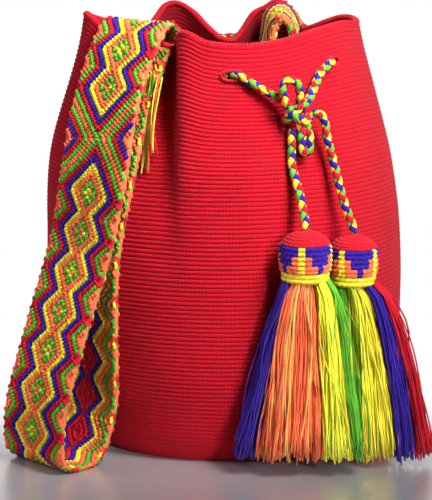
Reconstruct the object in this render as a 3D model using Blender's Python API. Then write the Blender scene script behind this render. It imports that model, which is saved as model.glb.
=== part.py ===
# A crocheted shoulder bag: a folded body, a woven strap and a drawstring with two tassels.
# Metres, +Z up. The origin is the middle of the base, on the surface that the bag stands on.
# The front is -Y. Angles round the bag are in degrees from the front towards +X.
import math

import bmesh
import bpy
from mathutils import Vector

# Body
BAG_HEIGHT = 0.298
BAG_RADIUS = 0.1300
BASE_RADIUS = 0.110
RIM_RADIUS = 0.103
WALL = 0.004
LEAN = 0.004
FOLD_START = 0.38
GROOVE_DEPTH = 0.0035
BODY_COLUMNS = 76

# Strap
STRAP_WIDTH = 0.064
STRAP_THICKNESS = 0.004
DIAMOND_PITCH = 0.0275
DIAMOND_HALF = 0.0108
STRIPE = 0.0106
LASHING_HEIGHT = 0.014
LASHING_THICKNESS = 0.0015
FRINGE_LENGTH = 0.060
FRINGE_THICKNESS = 0.0022

# Drawstring
CORD = 0.006
EYELET_LENGTH = 0.0200
EYELET_HEIGHT = 0.0082
EYELET_SLANT = 40.0
# Eyelets: angle, and how far they lie under the top of the bag
EYELETS = [(4, 0.0290), (-92, 0.0220), (-145, 0.0210), (-169, 0.0225), (95, 0.0225),
           (46, 0.0225)]

# Tassels
CAP_HEIGHT = 0.0348
CAP_RADIUS = 0.0175
RIGHT_CAP_RADIUS = 0.0168
SKIRT_LENGTH = 0.1180
SKIRT_FLARE = 0.55

# Gap kept between neighbours that touch
GAP = 0.0004

RED = (0.62, 0.012, 0.035, 1.0)
ORANGE = (1.0, 0.17, 0.06, 1.0)
YELLOW = (0.92, 0.66, 0.03, 1.0)
LEMON = (0.88, 0.95, 0.05, 1.0)
BLUE = (0.022, 0.008, 0.27, 1.0)
GREEN = (0.10, 0.42, 0.05, 1.0)
CRIMSON = (0.40, 0.02, 0.05, 1.0)

# Body height share against how far the radius has grown from the base to the middle
BELLY = [(0.0, 0.0), (0.03, 0.36), (0.075, 0.60), (0.2, 0.90), (0.35, 1.0), (0.48, 1.0)]
# Body height share against how far the radius has shrunk from the middle to the rim
SHOULDER = [(0.48, 0.0), (0.56, 0.03), (0.67, 0.15), (0.73, 0.27), (0.84, 0.57),
            (0.94, 0.86), (1.0, 1.0)]
# Folds of the gathered mouth: angle against the share of the rim radius
FOLDS = [(-180, 0.76), (-174, 0.835), (-170, 0.90), (-165, 0.96), (-160, 0.985),
         (-152, 0.955), (-144, 0.885), (-135, 0.80), (-126, 0.735), (-116, 0.70), (-107, 0.745),
         (-98, 0.85), (-88, 0.93), (-76, 0.95), (-66, 0.895), (-56, 0.835), (-41, 0.795),
         (-30, 0.785), (-24, 0.790), (-20, 0.850), (-16.5, 0.965), (-9, 1.01), (5, 1.015), (25, 1.01), (45, 1.0),
         (62, 0.985), (80, 0.98), (92, 0.945), (101, 0.885), (110, 0.785), (118, 0.725),
         (125, 0.775), (132, 0.86), (139, 0.955), (147, 1.005), (155, 1.0), (160, 0.955),
         (164, 0.87), (168, 0.76), (173, 0.70), (177, 0.72), (180, 0.76)]
# Rise and dip of the rim: angle against height over the bag's height
RIM_RISE = [(-180, -0.0187), (-174, -0.011), (-169, -0.002), (-162, 0.0052), (-155, 0.004),
            (-149, -0.004), (-141, -0.0115), (-130, -0.013), (-116, -0.010), (-100, -0.0015),
            (-80, 0.0060), (-72, 0.0035), (-65, -0.0025), (-45, -0.003), (-34, -0.0065),
            (-28, -0.0115), (-22, -0.0115), (-17, -0.002), (-13, -0.001), (-5, -0.007), (10, -0.009), (25, -0.0065), (40, -0.001),
            (58, 0.002), (75, 0.0), (100, 0.001), (118, -0.009), (132, -0.010), (140, -0.0095),
            (146, -0.002), (151, 0.0055), (155, 0.0070), (160, 0.002), (164, -0.002),
            (168, -0.013), (172, -0.020), (176, -0.0205), (180, -0.0187)]
# Height shares of the rings of the body's mesh
RING_LEVELS = [0.03, 0.09, 0.20, 0.34, 0.48, 0.60, 0.70, 0.785, 0.86, 0.925, 0.975]


def clear_scene():
    for old in list(bpy.data.objects):
        bpy.data.objects.remove(old, do_unlink=True)


def smooth_step(x):
    x = min(1.0, max(0.0, x))
    return x * x * (3.0 - 2.0 * x)


def value_at(points, x):
    # Smooth curve through a table of pairs
    if x <= points[0][0]:
        return points[0][1]
    if x >= points[-1][0]:
        return points[-1][1]
    i = 0
    while points[i + 1][0] < x:
        i += 1
    x1, y1 = points[i]
    x2, y2 = points[i + 1]
    step = (y2 - y1) / (x2 - x1)
    before = step
    after = step
    if i > 0:
        before = (y2 - points[i - 1][1]) / (x2 - points[i - 1][0])
    if i + 2 < len(points):
        after = (points[i + 2][1] - y1) / (points[i + 2][0] - x1)
    t = (x - x1) / (x2 - x1)
    span = x2 - x1
    a = y1 * (1 + 2 * t) * (1 - t) ** 2 + before * span * t * (1 - t) ** 2
    return a + y2 * t * t * (3 - 2 * t) + after * span * t * t * (t - 1)


def wrap(angle):
    return (angle + 180.0) % 360.0 - 180.0


def plain_radius(share):
    if share <= 0.48:
        return BASE_RADIUS + (BAG_RADIUS - BASE_RADIUS) * value_at(BELLY, share)
    return BAG_RADIUS - (BAG_RADIUS - RIM_RADIUS) * value_at(SHOULDER, share)


def wall_height(angle, share):
    rise = value_at(RIM_RISE, wrap(angle)) * smooth_step((share - 0.6) / 0.4)
    return BAG_HEIGHT * share + rise


def wall_radius(angle, share):
    plain = plain_radius(share)
    turn = math.radians(angle)
    # The folds run straight down, so their angle narrows where the body is wider
    narrow = (plain / RIM_RADIUS - 1.0) * math.sin(turn) * math.cos(turn / 2.0) ** 2
    fold = value_at(FOLDS, wrap(angle + math.degrees(narrow))) - 1.0
    depth = smooth_step((share - FOLD_START) / (1.0 - FOLD_START))
    groove = math.exp(-((angle - 19.0) / 7.0) ** 2 - ((share - 0.33) / 0.2) ** 2)
    return plain * (1.0 + fold * depth) - GROOVE_DEPTH * groove


def lean_at(z):
    return -LEAN * (z / BAG_HEIGHT) ** 2


def at(angle, radius, z):
    turn = math.radians(angle)
    return Vector((radius * math.sin(turn) + lean_at(z), -radius * math.cos(turn), z))


def wall_point(angle, share, inset=0.0):
    z = wall_height(angle, share)
    here = at(angle, wall_radius(angle, share), z)
    if inset == 0.0:
        return here
    before = at(angle - 0.7, wall_radius(angle - 0.7, share), z)
    after = at(angle + 0.7, wall_radius(angle + 0.7, share), z)
    along = (after - before).normalized()
    return here + Vector((-along.y, along.x, 0.0)) * inset


def share_at(angle, z):
    low = 0.0
    high = 1.0
    for _ in range(30):
        middle = (low + high) / 2.0
        if wall_height(angle, middle) < z:
            low = middle
        else:
            high = middle
    return (low + high) / 2.0


def column_angles():
    # Columns stand at equal steps along the folded rim
    fine = 1440
    angles = [-180.0 + 360.0 * i / fine for i in range(fine + 1)]
    lengths = [0.0]
    for i in range(fine):
        step = (wall_point(angles[i + 1], 0.97) - wall_point(angles[i], 0.97)).length
        lengths.append(lengths[-1] + step)
    result = []
    k = 0
    for i in range(BODY_COLUMNS):
        goal = lengths[-1] * i / BODY_COLUMNS
        while lengths[k + 1] < goal:
            k += 1
        part = (goal - lengths[k]) / (lengths[k + 1] - lengths[k])
        result.append(angles[k] + part * (angles[k + 1] - angles[k]))
    return result


def make_material(name, colour, roughness=0.85):
    material = bpy.data.materials.new(name)
    material.use_nodes = True
    shader = material.node_tree.nodes["Principled BSDF"]
    shader.inputs["Base Color"].default_value = colour
    shader.inputs["Roughness"].default_value = roughness
    shader.inputs["Metallic"].default_value = 0.0
    return material


def add_mesh(name, verts, faces, colour):
    mesh = bpy.data.meshes.new(name)
    mesh.from_pydata([tuple(v) for v in verts], [], faces)
    mesh.validate()
    mesh.shade_smooth()
    mesh.materials.append(make_material(name, colour))
    made = bpy.data.objects.new(name, mesh)
    bpy.context.scene.collection.objects.link(made)
    return made


def add_tube(name, points, diameter, colour, round_start=False, round_end=False):
    # A round cord on a line of points, with ball ends where a joint needs them
    radius = diameter / 2.0
    places = [(p, 1.0) for p in points]
    if round_start:
        places = ball_end(points[0], points[1], radius) + places[1:]
    if round_end:
        places = places[:-1] + list(reversed(ball_end(points[-1], points[-2], radius)))
    curve = bpy.data.curves.new(name, "CURVE")
    curve.dimensions = "3D"
    curve.bevel_depth = radius
    curve.bevel_resolution = 2
    curve.use_fill_caps = True
    spline = curve.splines.new("POLY")
    spline.points.add(len(places) - 1)
    for point, (place, size) in zip(spline.points, places):
        point.co = (place.x, place.y, place.z, 1.0)
        point.radius = size
    curve.materials.append(make_material(name, colour))
    made = bpy.data.objects.new(name, curve)
    bpy.context.scene.collection.objects.link(made)
    return made


def ball_end(pivot, following, radius):
    # The ball is centred on the pivot, so the end can turn there
    out = (pivot - following).normalized()
    places = []
    for turn in (78, 50, 24):
        rise = math.sin(math.radians(turn)) * radius
        places.append((pivot + out * rise, math.cos(math.radians(turn))))
    places.append((pivot, 1.0))
    return places


def smooth_line(points, spacing):
    # Points at even steps along a smooth curve through the chosen ones
    points = [Vector(p) for p in points]
    fine = []
    for i in range(len(points) - 1):
        p0 = points[max(0, i - 1)]
        p1 = points[i]
        p2 = points[i + 1]
        p3 = points[min(len(points) - 1, i + 2)]
        for k in range(24):
            t = k / 24.0
            fine.append(0.5 * ((2 * p1) + (p2 - p0) * t + (2 * p0 - 5 * p1 + 4 * p2 - p3) * t * t
                               + (3 * p1 - p0 - 3 * p2 + p3) * t ** 3))
    fine.append(points[-1])
    lengths = [0.0]
    for i in range(len(fine) - 1):
        lengths.append(lengths[-1] + (fine[i + 1] - fine[i]).length)
    count = max(2, round(lengths[-1] / spacing))
    result = []
    k = 0
    for i in range(count + 1):
        goal = lengths[-1] * i / count
        while k < len(lengths) - 2 and lengths[k + 1] < goal:
            k += 1
        part = (goal - lengths[k]) / (lengths[k + 1] - lengths[k])
        result.append(fine[k].lerp(fine[k + 1], min(1.0, part)))
    return result


def make_body():
    angles = column_angles()
    count = len(angles)
    rings = [[at(a, BASE_RADIUS, 0.0) for a in angles]]
    for share in RING_LEVELS:
        rings.append([wall_point(a, share) for a in angles])
    rings.append([wall_point(a, 1.0, WALL * 0.2) - Vector((0, 0, WALL * 0.1)) for a in angles])
    rings.append([wall_point(a, 1.0, WALL * 0.8) - Vector((0, 0, WALL * 0.1)) for a in angles])
    for share in reversed(RING_LEVELS):
        rings.append([wall_point(a, share, WALL) for a in angles])
    rings.append([at(a, BASE_RADIUS - WALL, WALL) for a in angles])
    verts = [v for ring in rings for v in ring]
    faces = [list(reversed(range(count)))]
    for r in range(len(rings) - 1):
        for c in range(count):
            d = (c + 1) % count
            faces.append([r * count + c, r * count + d, (r + 1) * count + d, (r + 1) * count + c])
    faces.append([(len(rings) - 1) * count + c for c in range(count)])
    body = add_mesh("bag_body", verts, faces, RED)
    for number in range(len(EYELETS)):
        cut_eyelet(body, number)
    return body


def eyelet_frame(number):
    angle, drop = EYELETS[number]
    share = share_at(angle, BAG_HEIGHT - drop)
    middle = wall_point(angle, share, WALL / 2.0)
    along = (wall_point(angle + 1.0, share) - wall_point(angle - 1.0, share))
    along.z = 0.0
    along.normalize()
    return middle, along, Vector((along.y, -along.x, 0.0))


def cut_eyelet(body, number):
    middle, along, out = eyelet_frame(number)
    bm = bmesh.new()
    bmesh.ops.create_cube(bm, size=1.0)
    for vert in bm.verts:
        place = vert.co.copy()
        vert.co = (middle + along * place.x * EYELET_LENGTH - out * place.y * WALL * 5.0
                   + Vector((0, 0, place.z * EYELET_HEIGHT)))
    mesh = bpy.data.meshes.new("eyelet_cutter_%d" % number)
    bm.to_mesh(mesh)
    bm.free()
    cutter = bpy.data.objects.new(mesh.name, mesh)
    cutter.hide_render = True
    cutter.display_type = "WIRE"
    bpy.context.scene.collection.objects.link(cutter)
    modifier = body.modifiers.new("eyelet_%d" % number, "BOOLEAN")
    modifier.operation = "DIFFERENCE"
    modifier.object = cutter


def seat_radius(angle, z, half_width):
    # How far out a flat band stands to lie on the folded wall at this angle and height
    widest = 0.0
    reach = 34
    for k in range(-reach, reach + 1):
        turn = math.radians(k)
        radius = wall_radius(angle + k, share_at(angle + k, z))
        if abs(radius * math.sin(turn)) <= half_width + 0.002:
            widest = max(widest, radius * math.cos(turn))
    return widest


def band_station(angle, z, radius, twist=0.0):
    turn = math.radians(angle + twist)
    across = Vector((math.cos(turn), math.sin(turn), 0.0))
    return at(angle, radius, z), across


def strap_stations():
    # Centre line and width direction of the strap, from its outer end to its inner end
    half = STRAP_WIDTH / 2.0
    lift = STRAP_THICKNESS / 2.0 + GAP
    stations = []
    # Inner run, which lies on the wall from the sewn end to the bottom
    for z, angle, spare in [(0.289, -40.5, 0.0), (0.262, -43.0, 0.0), (0.235, -44.0, 0.0),
                            (0.200, -44.0, 0.0), (0.145, -45.8, 0.0), (0.094, -46.5, 0.0),
                            (0.045, -47.5, 0.002)]:
        stations.append(band_station(angle, z, seat_radius(angle, z, half) + lift + spare))
    # Turn on the floor
    floor = STRAP_THICKNESS / 2.0 + 0.0002
    stations.append(band_station(-47.4, 0.018, 0.1385))
    stations.append(band_station(-47.0, 0.0052, 0.1480))
    stations.append(band_station(-46.8, floor, 0.1610))
    stations.append(band_station(-46.6, floor + 0.0010, 0.1735))
    stations.append(band_station(-46.5, 0.010, 0.1810))
    stations.append(band_station(-46.4, 0.021, 0.1822))
    # Outer run, back up to the rim
    stations.append(band_station(-46.4, 0.047, 0.1785))
    stations.append(band_station(-46.4, 0.100, 0.1610))
    stations.append(band_station(-45.4, 0.150, 0.1440))
    stations.append(band_station(-43.0, 0.200, 0.1350))
    stations.append(band_station(-43.5, 0.235, 0.1250))
    stations.append(band_station(-44.2, 0.262, 0.1130))
    stations.append(band_station(-43.5, 0.284, 0.1015))
    # Over the rim, down into the mouth and across it
    rim = BAG_HEIGHT
    stations.append(band_station(-43.8, rim + 0.0018, 0.0860))
    stations.append((Vector((-0.0535, -0.0500, rim - 0.0045)), Vector((0.73, -0.68, 0.0))))
    stations.append((Vector((-0.0400, -0.0340, rim - 0.031)), Vector((0.75, -0.66, 0.0))))
    stations.append((Vector((-0.0240, -0.0140, rim - 0.065)), Vector((0.78, -0.62, 0.0))))
    stations.append((Vector((-0.0020, 0.0120, rim - 0.094)), Vector((0.72, -0.69, 0.0))))
    stations.append((Vector((0.0190, 0.0340, rim - 0.073)), Vector((0.46, -0.89, 0.0))))
    stations.append((Vector((0.0290, 0.0425, rim - 0.042)), Vector((0.20, -0.98, -0.04))))
    # Arch over the far side of the mouth, then down to the inner end
    stations.append((Vector((0.0319, 0.0440, rim - 0.020)), Vector((0.09, -0.99, -0.10))))
    stations.append((Vector((0.0345, 0.0440, rim - 0.004)), Vector((0.07, -0.99, -0.11))))
    stations.append((Vector((0.0425, 0.0435, rim + 0.0025)), Vector((0.0, -0.99, -0.11))))
    stations.append((Vector((0.0500, 0.0415, rim - 0.005)), Vector((-0.10, -0.99, -0.11))))
    stations.append((Vector((0.0528, 0.0385, rim - 0.018)), Vector((-0.08, -0.99, -0.06))))
    stations.append((Vector((0.0558, 0.0350, rim - 0.042)), Vector((-0.02, -1.0, 0.0))))
    return [(centre, across.normalized()) for centre, across in stations]


def strap_line():
    # Even steps along the strap, finer where it turns tightly
    stations = strap_stations()
    centres = [s[0] for s in stations]
    edges = [s[0] + s[1] * STRAP_WIDTH / 2.0 for s in stations]
    fine_centre = spline_samples(centres)
    fine_edge = spline_samples(edges)
    lengths = [0.0]
    for i in range(len(fine_centre) - 1):
        lengths.append(lengths[-1] + (fine_centre[i + 1] - fine_centre[i]).length)
    step = DIAMOND_PITCH / 4.0
    count = int(lengths[-1] / step)
    line = []
    k = 0
    for i in range(count + 1):
        goal = step * i
        while k < len(lengths) - 2 and lengths[k + 1] < goal:
            k += 1
        part = min(1.0, (goal - lengths[k]) / (lengths[k + 1] - lengths[k]))
        centre = fine_centre[k].lerp(fine_centre[k + 1], part)
        across = (fine_edge[k].lerp(fine_edge[k + 1], part) - centre).normalized()
        along = (fine_centre[k + 1] - fine_centre[k]).normalized()
        line.append((goal, centre, across, along.cross(across).normalized()))
    return line


def spline_samples(points):
    fine = []
    for i in range(len(points) - 1):
        p0 = points[max(0, i - 1)]
        p1 = points[i]
        p2 = points[i + 1]
        p3 = points[min(len(points) - 1, i + 2)]
        for k in range(20):
            t = k / 20.0
            fine.append(0.5 * ((2 * p1) + (p2 - p0) * t + (2 * p0 - 5 * p1 + 4 * p2 - p3) * t * t
                               + (3 * p1 - p0 - 3 * p2 + p3) * t ** 3))
    fine.append(points[-1])
    return fine


def strap_columns(distance):
    # Places across the strap where the stripes of the diamond pattern meet at this distance
    half = STRAP_WIDTH / 2.0
    phase = (distance / DIAMOND_PITCH) % 1.0
    swing = DIAMOND_HALF * (1.0 - abs(2.0 * phase - 1.0))
    side = [min(half, swing + STRIPE * k) for k in range(4)]
    side[3] = half
    return [-t for t in reversed(side)] + side


def make_strap():
    line = strap_line()
    keep = [i for i, item in enumerate(line) if i % 2 == 0 or bends_tightly(line, i)]
    line = [line[i] for i in keep]
    colours = [CRIMSON, BLUE, YELLOW, ORANGE, GREEN]
    bm = bmesh.new()
    front = []
    back = []
    for distance, centre, across, out in line:
        row = {}
        for t in strap_columns(distance):
            key = round(t, 5)
            if key not in row:
                row[key] = bm.verts.new(centre + across * t - out * STRAP_THICKNESS / 2.0)
        front.append([row[round(t, 5)] for t in strap_columns(distance)])
        half = STRAP_WIDTH / 2.0
        back.append([bm.verts.new(centre + across * t + out * STRAP_THICKNESS / 2.0)
                     for t in (-half, half)])
    for i in range(len(line) - 1):
        cell = int(line[i][0] / DIAMOND_PITCH + 0.01)
        for c in range(len(front[0]) - 1):
            field = abs(c - 3)
            colour = [4 if cell % 2 else 2, 3, 1, 0][field]
            add_face(bm, [front[i][c], front[i + 1][c], front[i + 1][c + 1], front[i][c + 1]],
                     colour)
        add_face(bm, [back[i][0], back[i][1], back[i + 1][1], back[i + 1][0]], 3)
        add_face(bm, [front[i][0], back[i][0], back[i + 1][0], front[i + 1][0]], 3)
        add_face(bm, [front[i][-1], front[i + 1][-1], back[i + 1][1], back[i][1]], 3)
    add_face(bm, unique(front[0]) + [back[0][1], back[0][0]], 3)
    add_face(bm, list(reversed(unique(front[-1]))) + [back[-1][0], back[-1][1]], 3)
    bmesh.ops.recalc_face_normals(bm, faces=bm.faces)
    mesh = bpy.data.meshes.new("shoulder_strap")
    bm.to_mesh(mesh)
    bm.free()
    names = ["strap_crimson", "strap_blue", "strap_yellow", "strap_orange", "strap_green"]
    for name, colour in zip(names, colours):
        mesh.materials.append(make_material(name, colour))
    made = bpy.data.objects.new("shoulder_strap", mesh)
    bpy.context.scene.collection.objects.link(made)


def bends_tightly(line, i):
    if i < 5 or i > len(line) - 6:
        return True
    before = line[i][1] - line[i - 1][1]
    after = line[i + 1][1] - line[i][1]
    return before.angle(after) > 0.10


def unique(verts):
    result = []
    for vert in verts:
        if vert not in result:
            result.append(vert)
    return result


def add_face(bm, verts, colour):
    verts = unique(verts)
    if len(verts) > 2:
        face = bm.faces.new(verts)
        face.material_index = colour
        face.smooth = True


def add_pad(name, rows, colour):
    # A thin fluted slab on rows of places: (left, right, out, thickness)
    columns = 13
    verts = []
    for left, right, out, thickness in rows:
        for side in (0.0, 1.0):
            for c in range(columns):
                ridge = 1.0 if c % 2 else 0.72
                height = thickness * side * ridge
                verts.append(left.lerp(right, c / (columns - 1)) + out * height)
    width = columns * 2
    faces = []
    for r in range(len(rows) - 1):
        for c in range(columns - 1):
            a = r * width + c
            faces.append([a, a + 1, a + 1 + width, a + width])
            b = a + columns
            faces.append([b, b + width, b + 1 + width, b + 1])
        a = r * width
        faces.append([a, a + width, a + width + columns, a + columns])
        b = a + columns - 1
        faces.append([b, b + columns, b + columns + width, b + width])
    last = (len(rows) - 1) * width
    for c in range(columns - 1):
        faces.append([c, c + columns, c + columns + 1, c + 1])
        d = last + c
        faces.append([d, d + 1, d + 1 + columns, d + columns])
    made = add_mesh(name, verts, faces, colour)
    bm = bmesh.new()
    bm.from_mesh(made.data)
    bmesh.ops.recalc_face_normals(bm, faces=bm.faces)
    bm.to_mesh(made.data)
    bm.free()
    return made


def pad_rows(samples, left_share, right_share, thickness, side):
    # Rows on the strap's face: side -1 is the outer face, side 1 the inner face
    rows = []
    for distance, centre, across, out in samples:
        face = centre + out * side * (STRAP_THICKNESS / 2.0 + GAP)
        half = STRAP_WIDTH / 2.0
        rows.append((face + across * half * left_share, face + across * half * right_share,
                     out * side, thickness))
    return rows


def strap_samples(line, start, length, count):
    step = line[1][0] - line[0][0]
    result = []
    for i in range(count + 1):
        goal = start + length * i / count
        k = min(len(line) - 1, max(0, round(goal / step)))
        result.append(line[k])
    return result


def make_strap_ends():
    line = strap_line()
    total = line[-1][0]
    add_pad("strap_lashing_front",
            pad_rows(strap_samples(line, 0.007, LASHING_HEIGHT, 2), -0.94, 0.94,
                     LASHING_THICKNESS, 1), ORANGE)
    add_pad("strap_fringe_front",
            pad_rows(strap_samples(line, 0.007 + LASHING_HEIGHT + 0.007, FRINGE_LENGTH, 6),
                     0.40, 0.99, FRINGE_THICKNESS, 1), GREEN)
    add_pad("strap_lashing_rear",
            pad_rows(strap_samples(line, total - 0.007 - LASHING_HEIGHT, LASHING_HEIGHT, 2),
                     -0.94, 0.94, LASHING_THICKNESS, 1), ORANGE)
    foot = line[-1]
    rows = []
    for drop in (0.0005, 0.02, 0.04, FRINGE_LENGTH):
        place = foot[1] - Vector((0, 0, drop)) - foot[3] * FRINGE_THICKNESS / 2.0
        half = STRAP_WIDTH / 2.0
        rows.append((place - foot[2] * half * 0.9, place + foot[2] * half * 0.9, foot[3],
                     FRINGE_THICKNESS))
    add_pad("strap_fringe_rear", rows, ORANGE)


# Run of the drawstring from the knot to the first eyelet, and from the last one back to it
LEFT_RUN = [(0.0388, -0.1146, 0.2530), (0.0325, -0.1150, 0.2566), (0.0225, -0.1140, 0.2618)]
RIGHT_RUN = [(0.0645, -0.0925, 0.2690), (0.0615, -0.0990, 0.2635), (0.0580, -0.1070, 0.2565),
             (0.0545, -0.1130, 0.2512)]
# Stops between the eyelets: angle, distance outside the wall (negative inside) and height
INNER_FRONT = [(-14, -0.0205, 0.2712), (-26, -0.0092, 0.2725), (-41, -0.0085, 0.2740),
               (-53, -0.0090, 0.2750), (-66, -0.0140, 0.2755), (-80, -0.0110, 0.2760)]
OUTER_LEFT = [(-102, 0.0065, 0.2765), (-110, 0.0150, 0.2768), (-122, 0.0170, 0.2770),
              (-133, 0.0100, 0.2770)]
INNER_LEFT = [(-157, -0.0100, 0.2765)]
OUTER_REAR = [(164, 0.0110, 0.2775), (157, 0.0048, 0.2785), (150, 0.0045, 0.2785),
              (143, 0.0045, 0.2785), (136, 0.0080, 0.2780), (126, 0.0200, 0.2770),
              (112, 0.0150, 0.2760), (104, 0.0075, 0.2757)]
INNER_RIGHT = [(86, -0.0090, 0.2755), (76, -0.0092, 0.2755), (66, -0.0090, 0.2755),
               (57, -0.0085, 0.2755)]


def eyelet_crossing(number, outward):
    # Three stops through an eyelet; the cord slants as it passes the wall
    middle, along, out = eyelet_frame(number)
    slant = math.radians(EYELET_SLANT)
    way = -along * math.cos(slant) + out * math.sin(slant) * (1.0 if outward else -1.0)
    return [middle - way * CORD * 1.2, middle, middle + way * CORD * 1.2]


def wall_stops(stops):
    result = []
    for angle, outside, z in stops:
        share = share_at(angle, z)
        place = wall_point(angle, share, -outside)
        result.append(Vector((place.x, place.y, z)))
    return result


def mouth_route():
    points = [Vector(p) for p in LEFT_RUN]
    points += eyelet_crossing(0, False) + wall_stops(INNER_FRONT)
    points += eyelet_crossing(1, True) + wall_stops(OUTER_LEFT)
    points += eyelet_crossing(2, False) + wall_stops(INNER_LEFT)
    points += eyelet_crossing(3, True) + wall_stops(OUTER_REAR)
    points += eyelet_crossing(4, False) + wall_stops(INNER_RIGHT)
    points += eyelet_crossing(5, True) + [Vector(p) for p in RIGHT_RUN]
    return points


KNOT_CENTRE = Vector((0.0479, -0.1155, 0.2455))
KNOT_SIZE = Vector((0.0075, 0.0062, 0.0085))
KNOT_ARCH = [(0.0455, -0.1190, 0.2475), (0.0385, -0.1228, 0.2560), (0.0383, -0.1230, 0.2640),
             (0.0433, -0.1230, 0.2682), (0.0492, -0.1225, 0.2650), (0.0500, -0.1210, 0.2570),
             (0.0490, -0.1180, 0.2480)]
KNOT_TONGUE = Vector((0.0532, -0.1170, 0.2285))
KNOT_TONGUE_SIZE = Vector((0.0043, 0.0036, 0.0135))

LEFT_TAIL = [(0.0447, -0.1165, 0.2338), (0.0446, -0.1172, 0.2232), (0.0446, -0.1190, 0.2116),
             (0.0464, -0.1220, 0.2028), (0.0501, -0.1275, 0.1905), (0.0524, -0.1330, 0.1790),
             (0.0535, -0.1375, 0.1721)]
RIGHT_TAIL = [(0.0590, -0.1165, 0.2452), (0.0640, -0.1140, 0.2432), (0.0670, -0.1120, 0.2375),
              (0.0682, -0.1110, 0.2287), (0.0712, -0.1110, 0.2171), (0.0745, -0.1120, 0.2050),
              (0.0796, -0.1150, 0.1855), (0.0868, -0.1194, 0.1662)]

LEFT_CAP = Vector((0.0535, -0.1375, 0.1687))
RIGHT_CAP = Vector((0.0868, -0.1194, 0.1628))


def make_drawstring():
    add_tube("drawstring", smooth_line(mouth_route(), CORD * 1.5), CORD, YELLOW)
    knot = add_ball("drawstring_knot", KNOT_CENTRE, KNOT_SIZE, YELLOW)
    tongue = add_ball("knot_tongue", KNOT_TONGUE, KNOT_TONGUE_SIZE, YELLOW)
    arch = add_tube("knot_arch", smooth_line(KNOT_ARCH, CORD), CORD, YELLOW)
    for guide in (tongue, arch):
        guide.hide_render = True
        guide.display_type = "WIRE"
        modifier = knot.modifiers.new(guide.name, "BOOLEAN")
        modifier.operation = "UNION"
        modifier.object = as_mesh(guide)
    add_tube("drawstring_tail_left", smooth_line(LEFT_TAIL, CORD * 1.5), CORD, YELLOW, True, True)
    add_tube("drawstring_tail_right", smooth_line(RIGHT_TAIL, CORD * 1.5), CORD, YELLOW,
             True, True)


def as_mesh(thing):
    # A Boolean needs a mesh, so a curve guide is turned into one
    if thing.type == "MESH":
        return thing
    shape = bpy.data.meshes.new_from_object(thing)
    solid = bpy.data.objects.new(thing.name + "_solid", shape)
    solid.hide_render = True
    solid.display_type = "WIRE"
    bpy.context.scene.collection.objects.link(solid)
    bpy.data.objects.remove(thing)
    return solid


def add_ball(name, centre, size, colour):
    bm = bmesh.new()
    bmesh.ops.create_uvsphere(bm, u_segments=16, v_segments=9, radius=1.0)
    for vert in bm.verts:
        place = vert.co
        vert.co = centre + Vector((place.x * size.x, place.y * size.y, place.z * size.z))
    mesh = bpy.data.meshes.new(name)
    bm.to_mesh(mesh)
    bm.free()
    mesh.shade_smooth()
    mesh.materials.append(make_material(name, colour))
    made = bpy.data.objects.new(name, mesh)
    bpy.context.scene.collection.objects.link(made)
    return made


# Outline of a tassel's cap: depth under its top against the share of its radius
CAP_OUTLINE = [(0.0, 0.30), (0.035, 0.52), (0.12, 0.76), (0.25, 0.93), (0.27, 0.955),
               (0.50, 1.0), (0.80, 0.98), (0.82, 1.03), (0.93, 1.03), (1.0, 0.97)]


def make_cap(name, top, radius, colour):
    # The cap is turned about a line through its top
    segments = 22
    verts = []
    for drop, share in CAP_OUTLINE:
        for k in range(segments):
            turn = 2.0 * math.pi * k / segments
            verts.append(top + Vector((radius * share * math.cos(turn),
                                       radius * share * math.sin(turn), -CAP_HEIGHT * drop)))
    faces = [list(range(segments))]
    for r in range(len(CAP_OUTLINE) - 1):
        for k in range(segments):
            m = (k + 1) % segments
            a = r * segments
            b = a + segments
            faces.append([a + m, a + k, b + k, b + m])
    last = (len(CAP_OUTLINE) - 1) * segments
    faces.append([last + k for k in reversed(range(segments))])
    add_mesh(name, verts, faces, colour)


# Thread hanks of each tassel: colour, then place and half-size at the neck and at the hem,
# as (x, y, half x, half y) from the cap's axis
LEFT_HANKS = [
    ("blue", BLUE, (-0.0112, -0.0005, 0.0030, 0.0085), (-0.0398, -0.0010, 0.0068, 0.0100)),
    ("orange", ORANGE, (-0.0021, -0.0010, 0.0058, 0.0125), (-0.0100, -0.0050, 0.0225, 0.0115)),
    ("yellow", LEMON, (0.0080, -0.0005, 0.0040, 0.0105), (0.0231, -0.0045, 0.0102, 0.0105)),
    ("green", GREEN, (0.0138, -0.0005, 0.0014, 0.0060), (0.0367, -0.0040, 0.0029, 0.0080))]
RIGHT_HANKS = [
    ("green", GREEN, (-0.0098, -0.0010, 0.0036, 0.0070), (-0.0010, 0.0000, 0.0055, 0.0075)),
    ("yellow", YELLOW, (-0.0010, -0.0030, 0.0048, 0.0095), (0.0173, -0.0030, 0.0126, 0.0085)),
    ("blue", BLUE, (0.0072, -0.0025, 0.0030, 0.0080), (0.0370, -0.0015, 0.0066, 0.0080)),
    ("red", CRIMSON, (0.0125, -0.0015, 0.0020, 0.0060), (0.0497, 0.0000, 0.0056, 0.0075)),
    ("orange", ORANGE, (0.0, 0.0102, 0.0085, 0.0030), (0.0230, 0.0125, 0.0170, 0.0042))]


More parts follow.
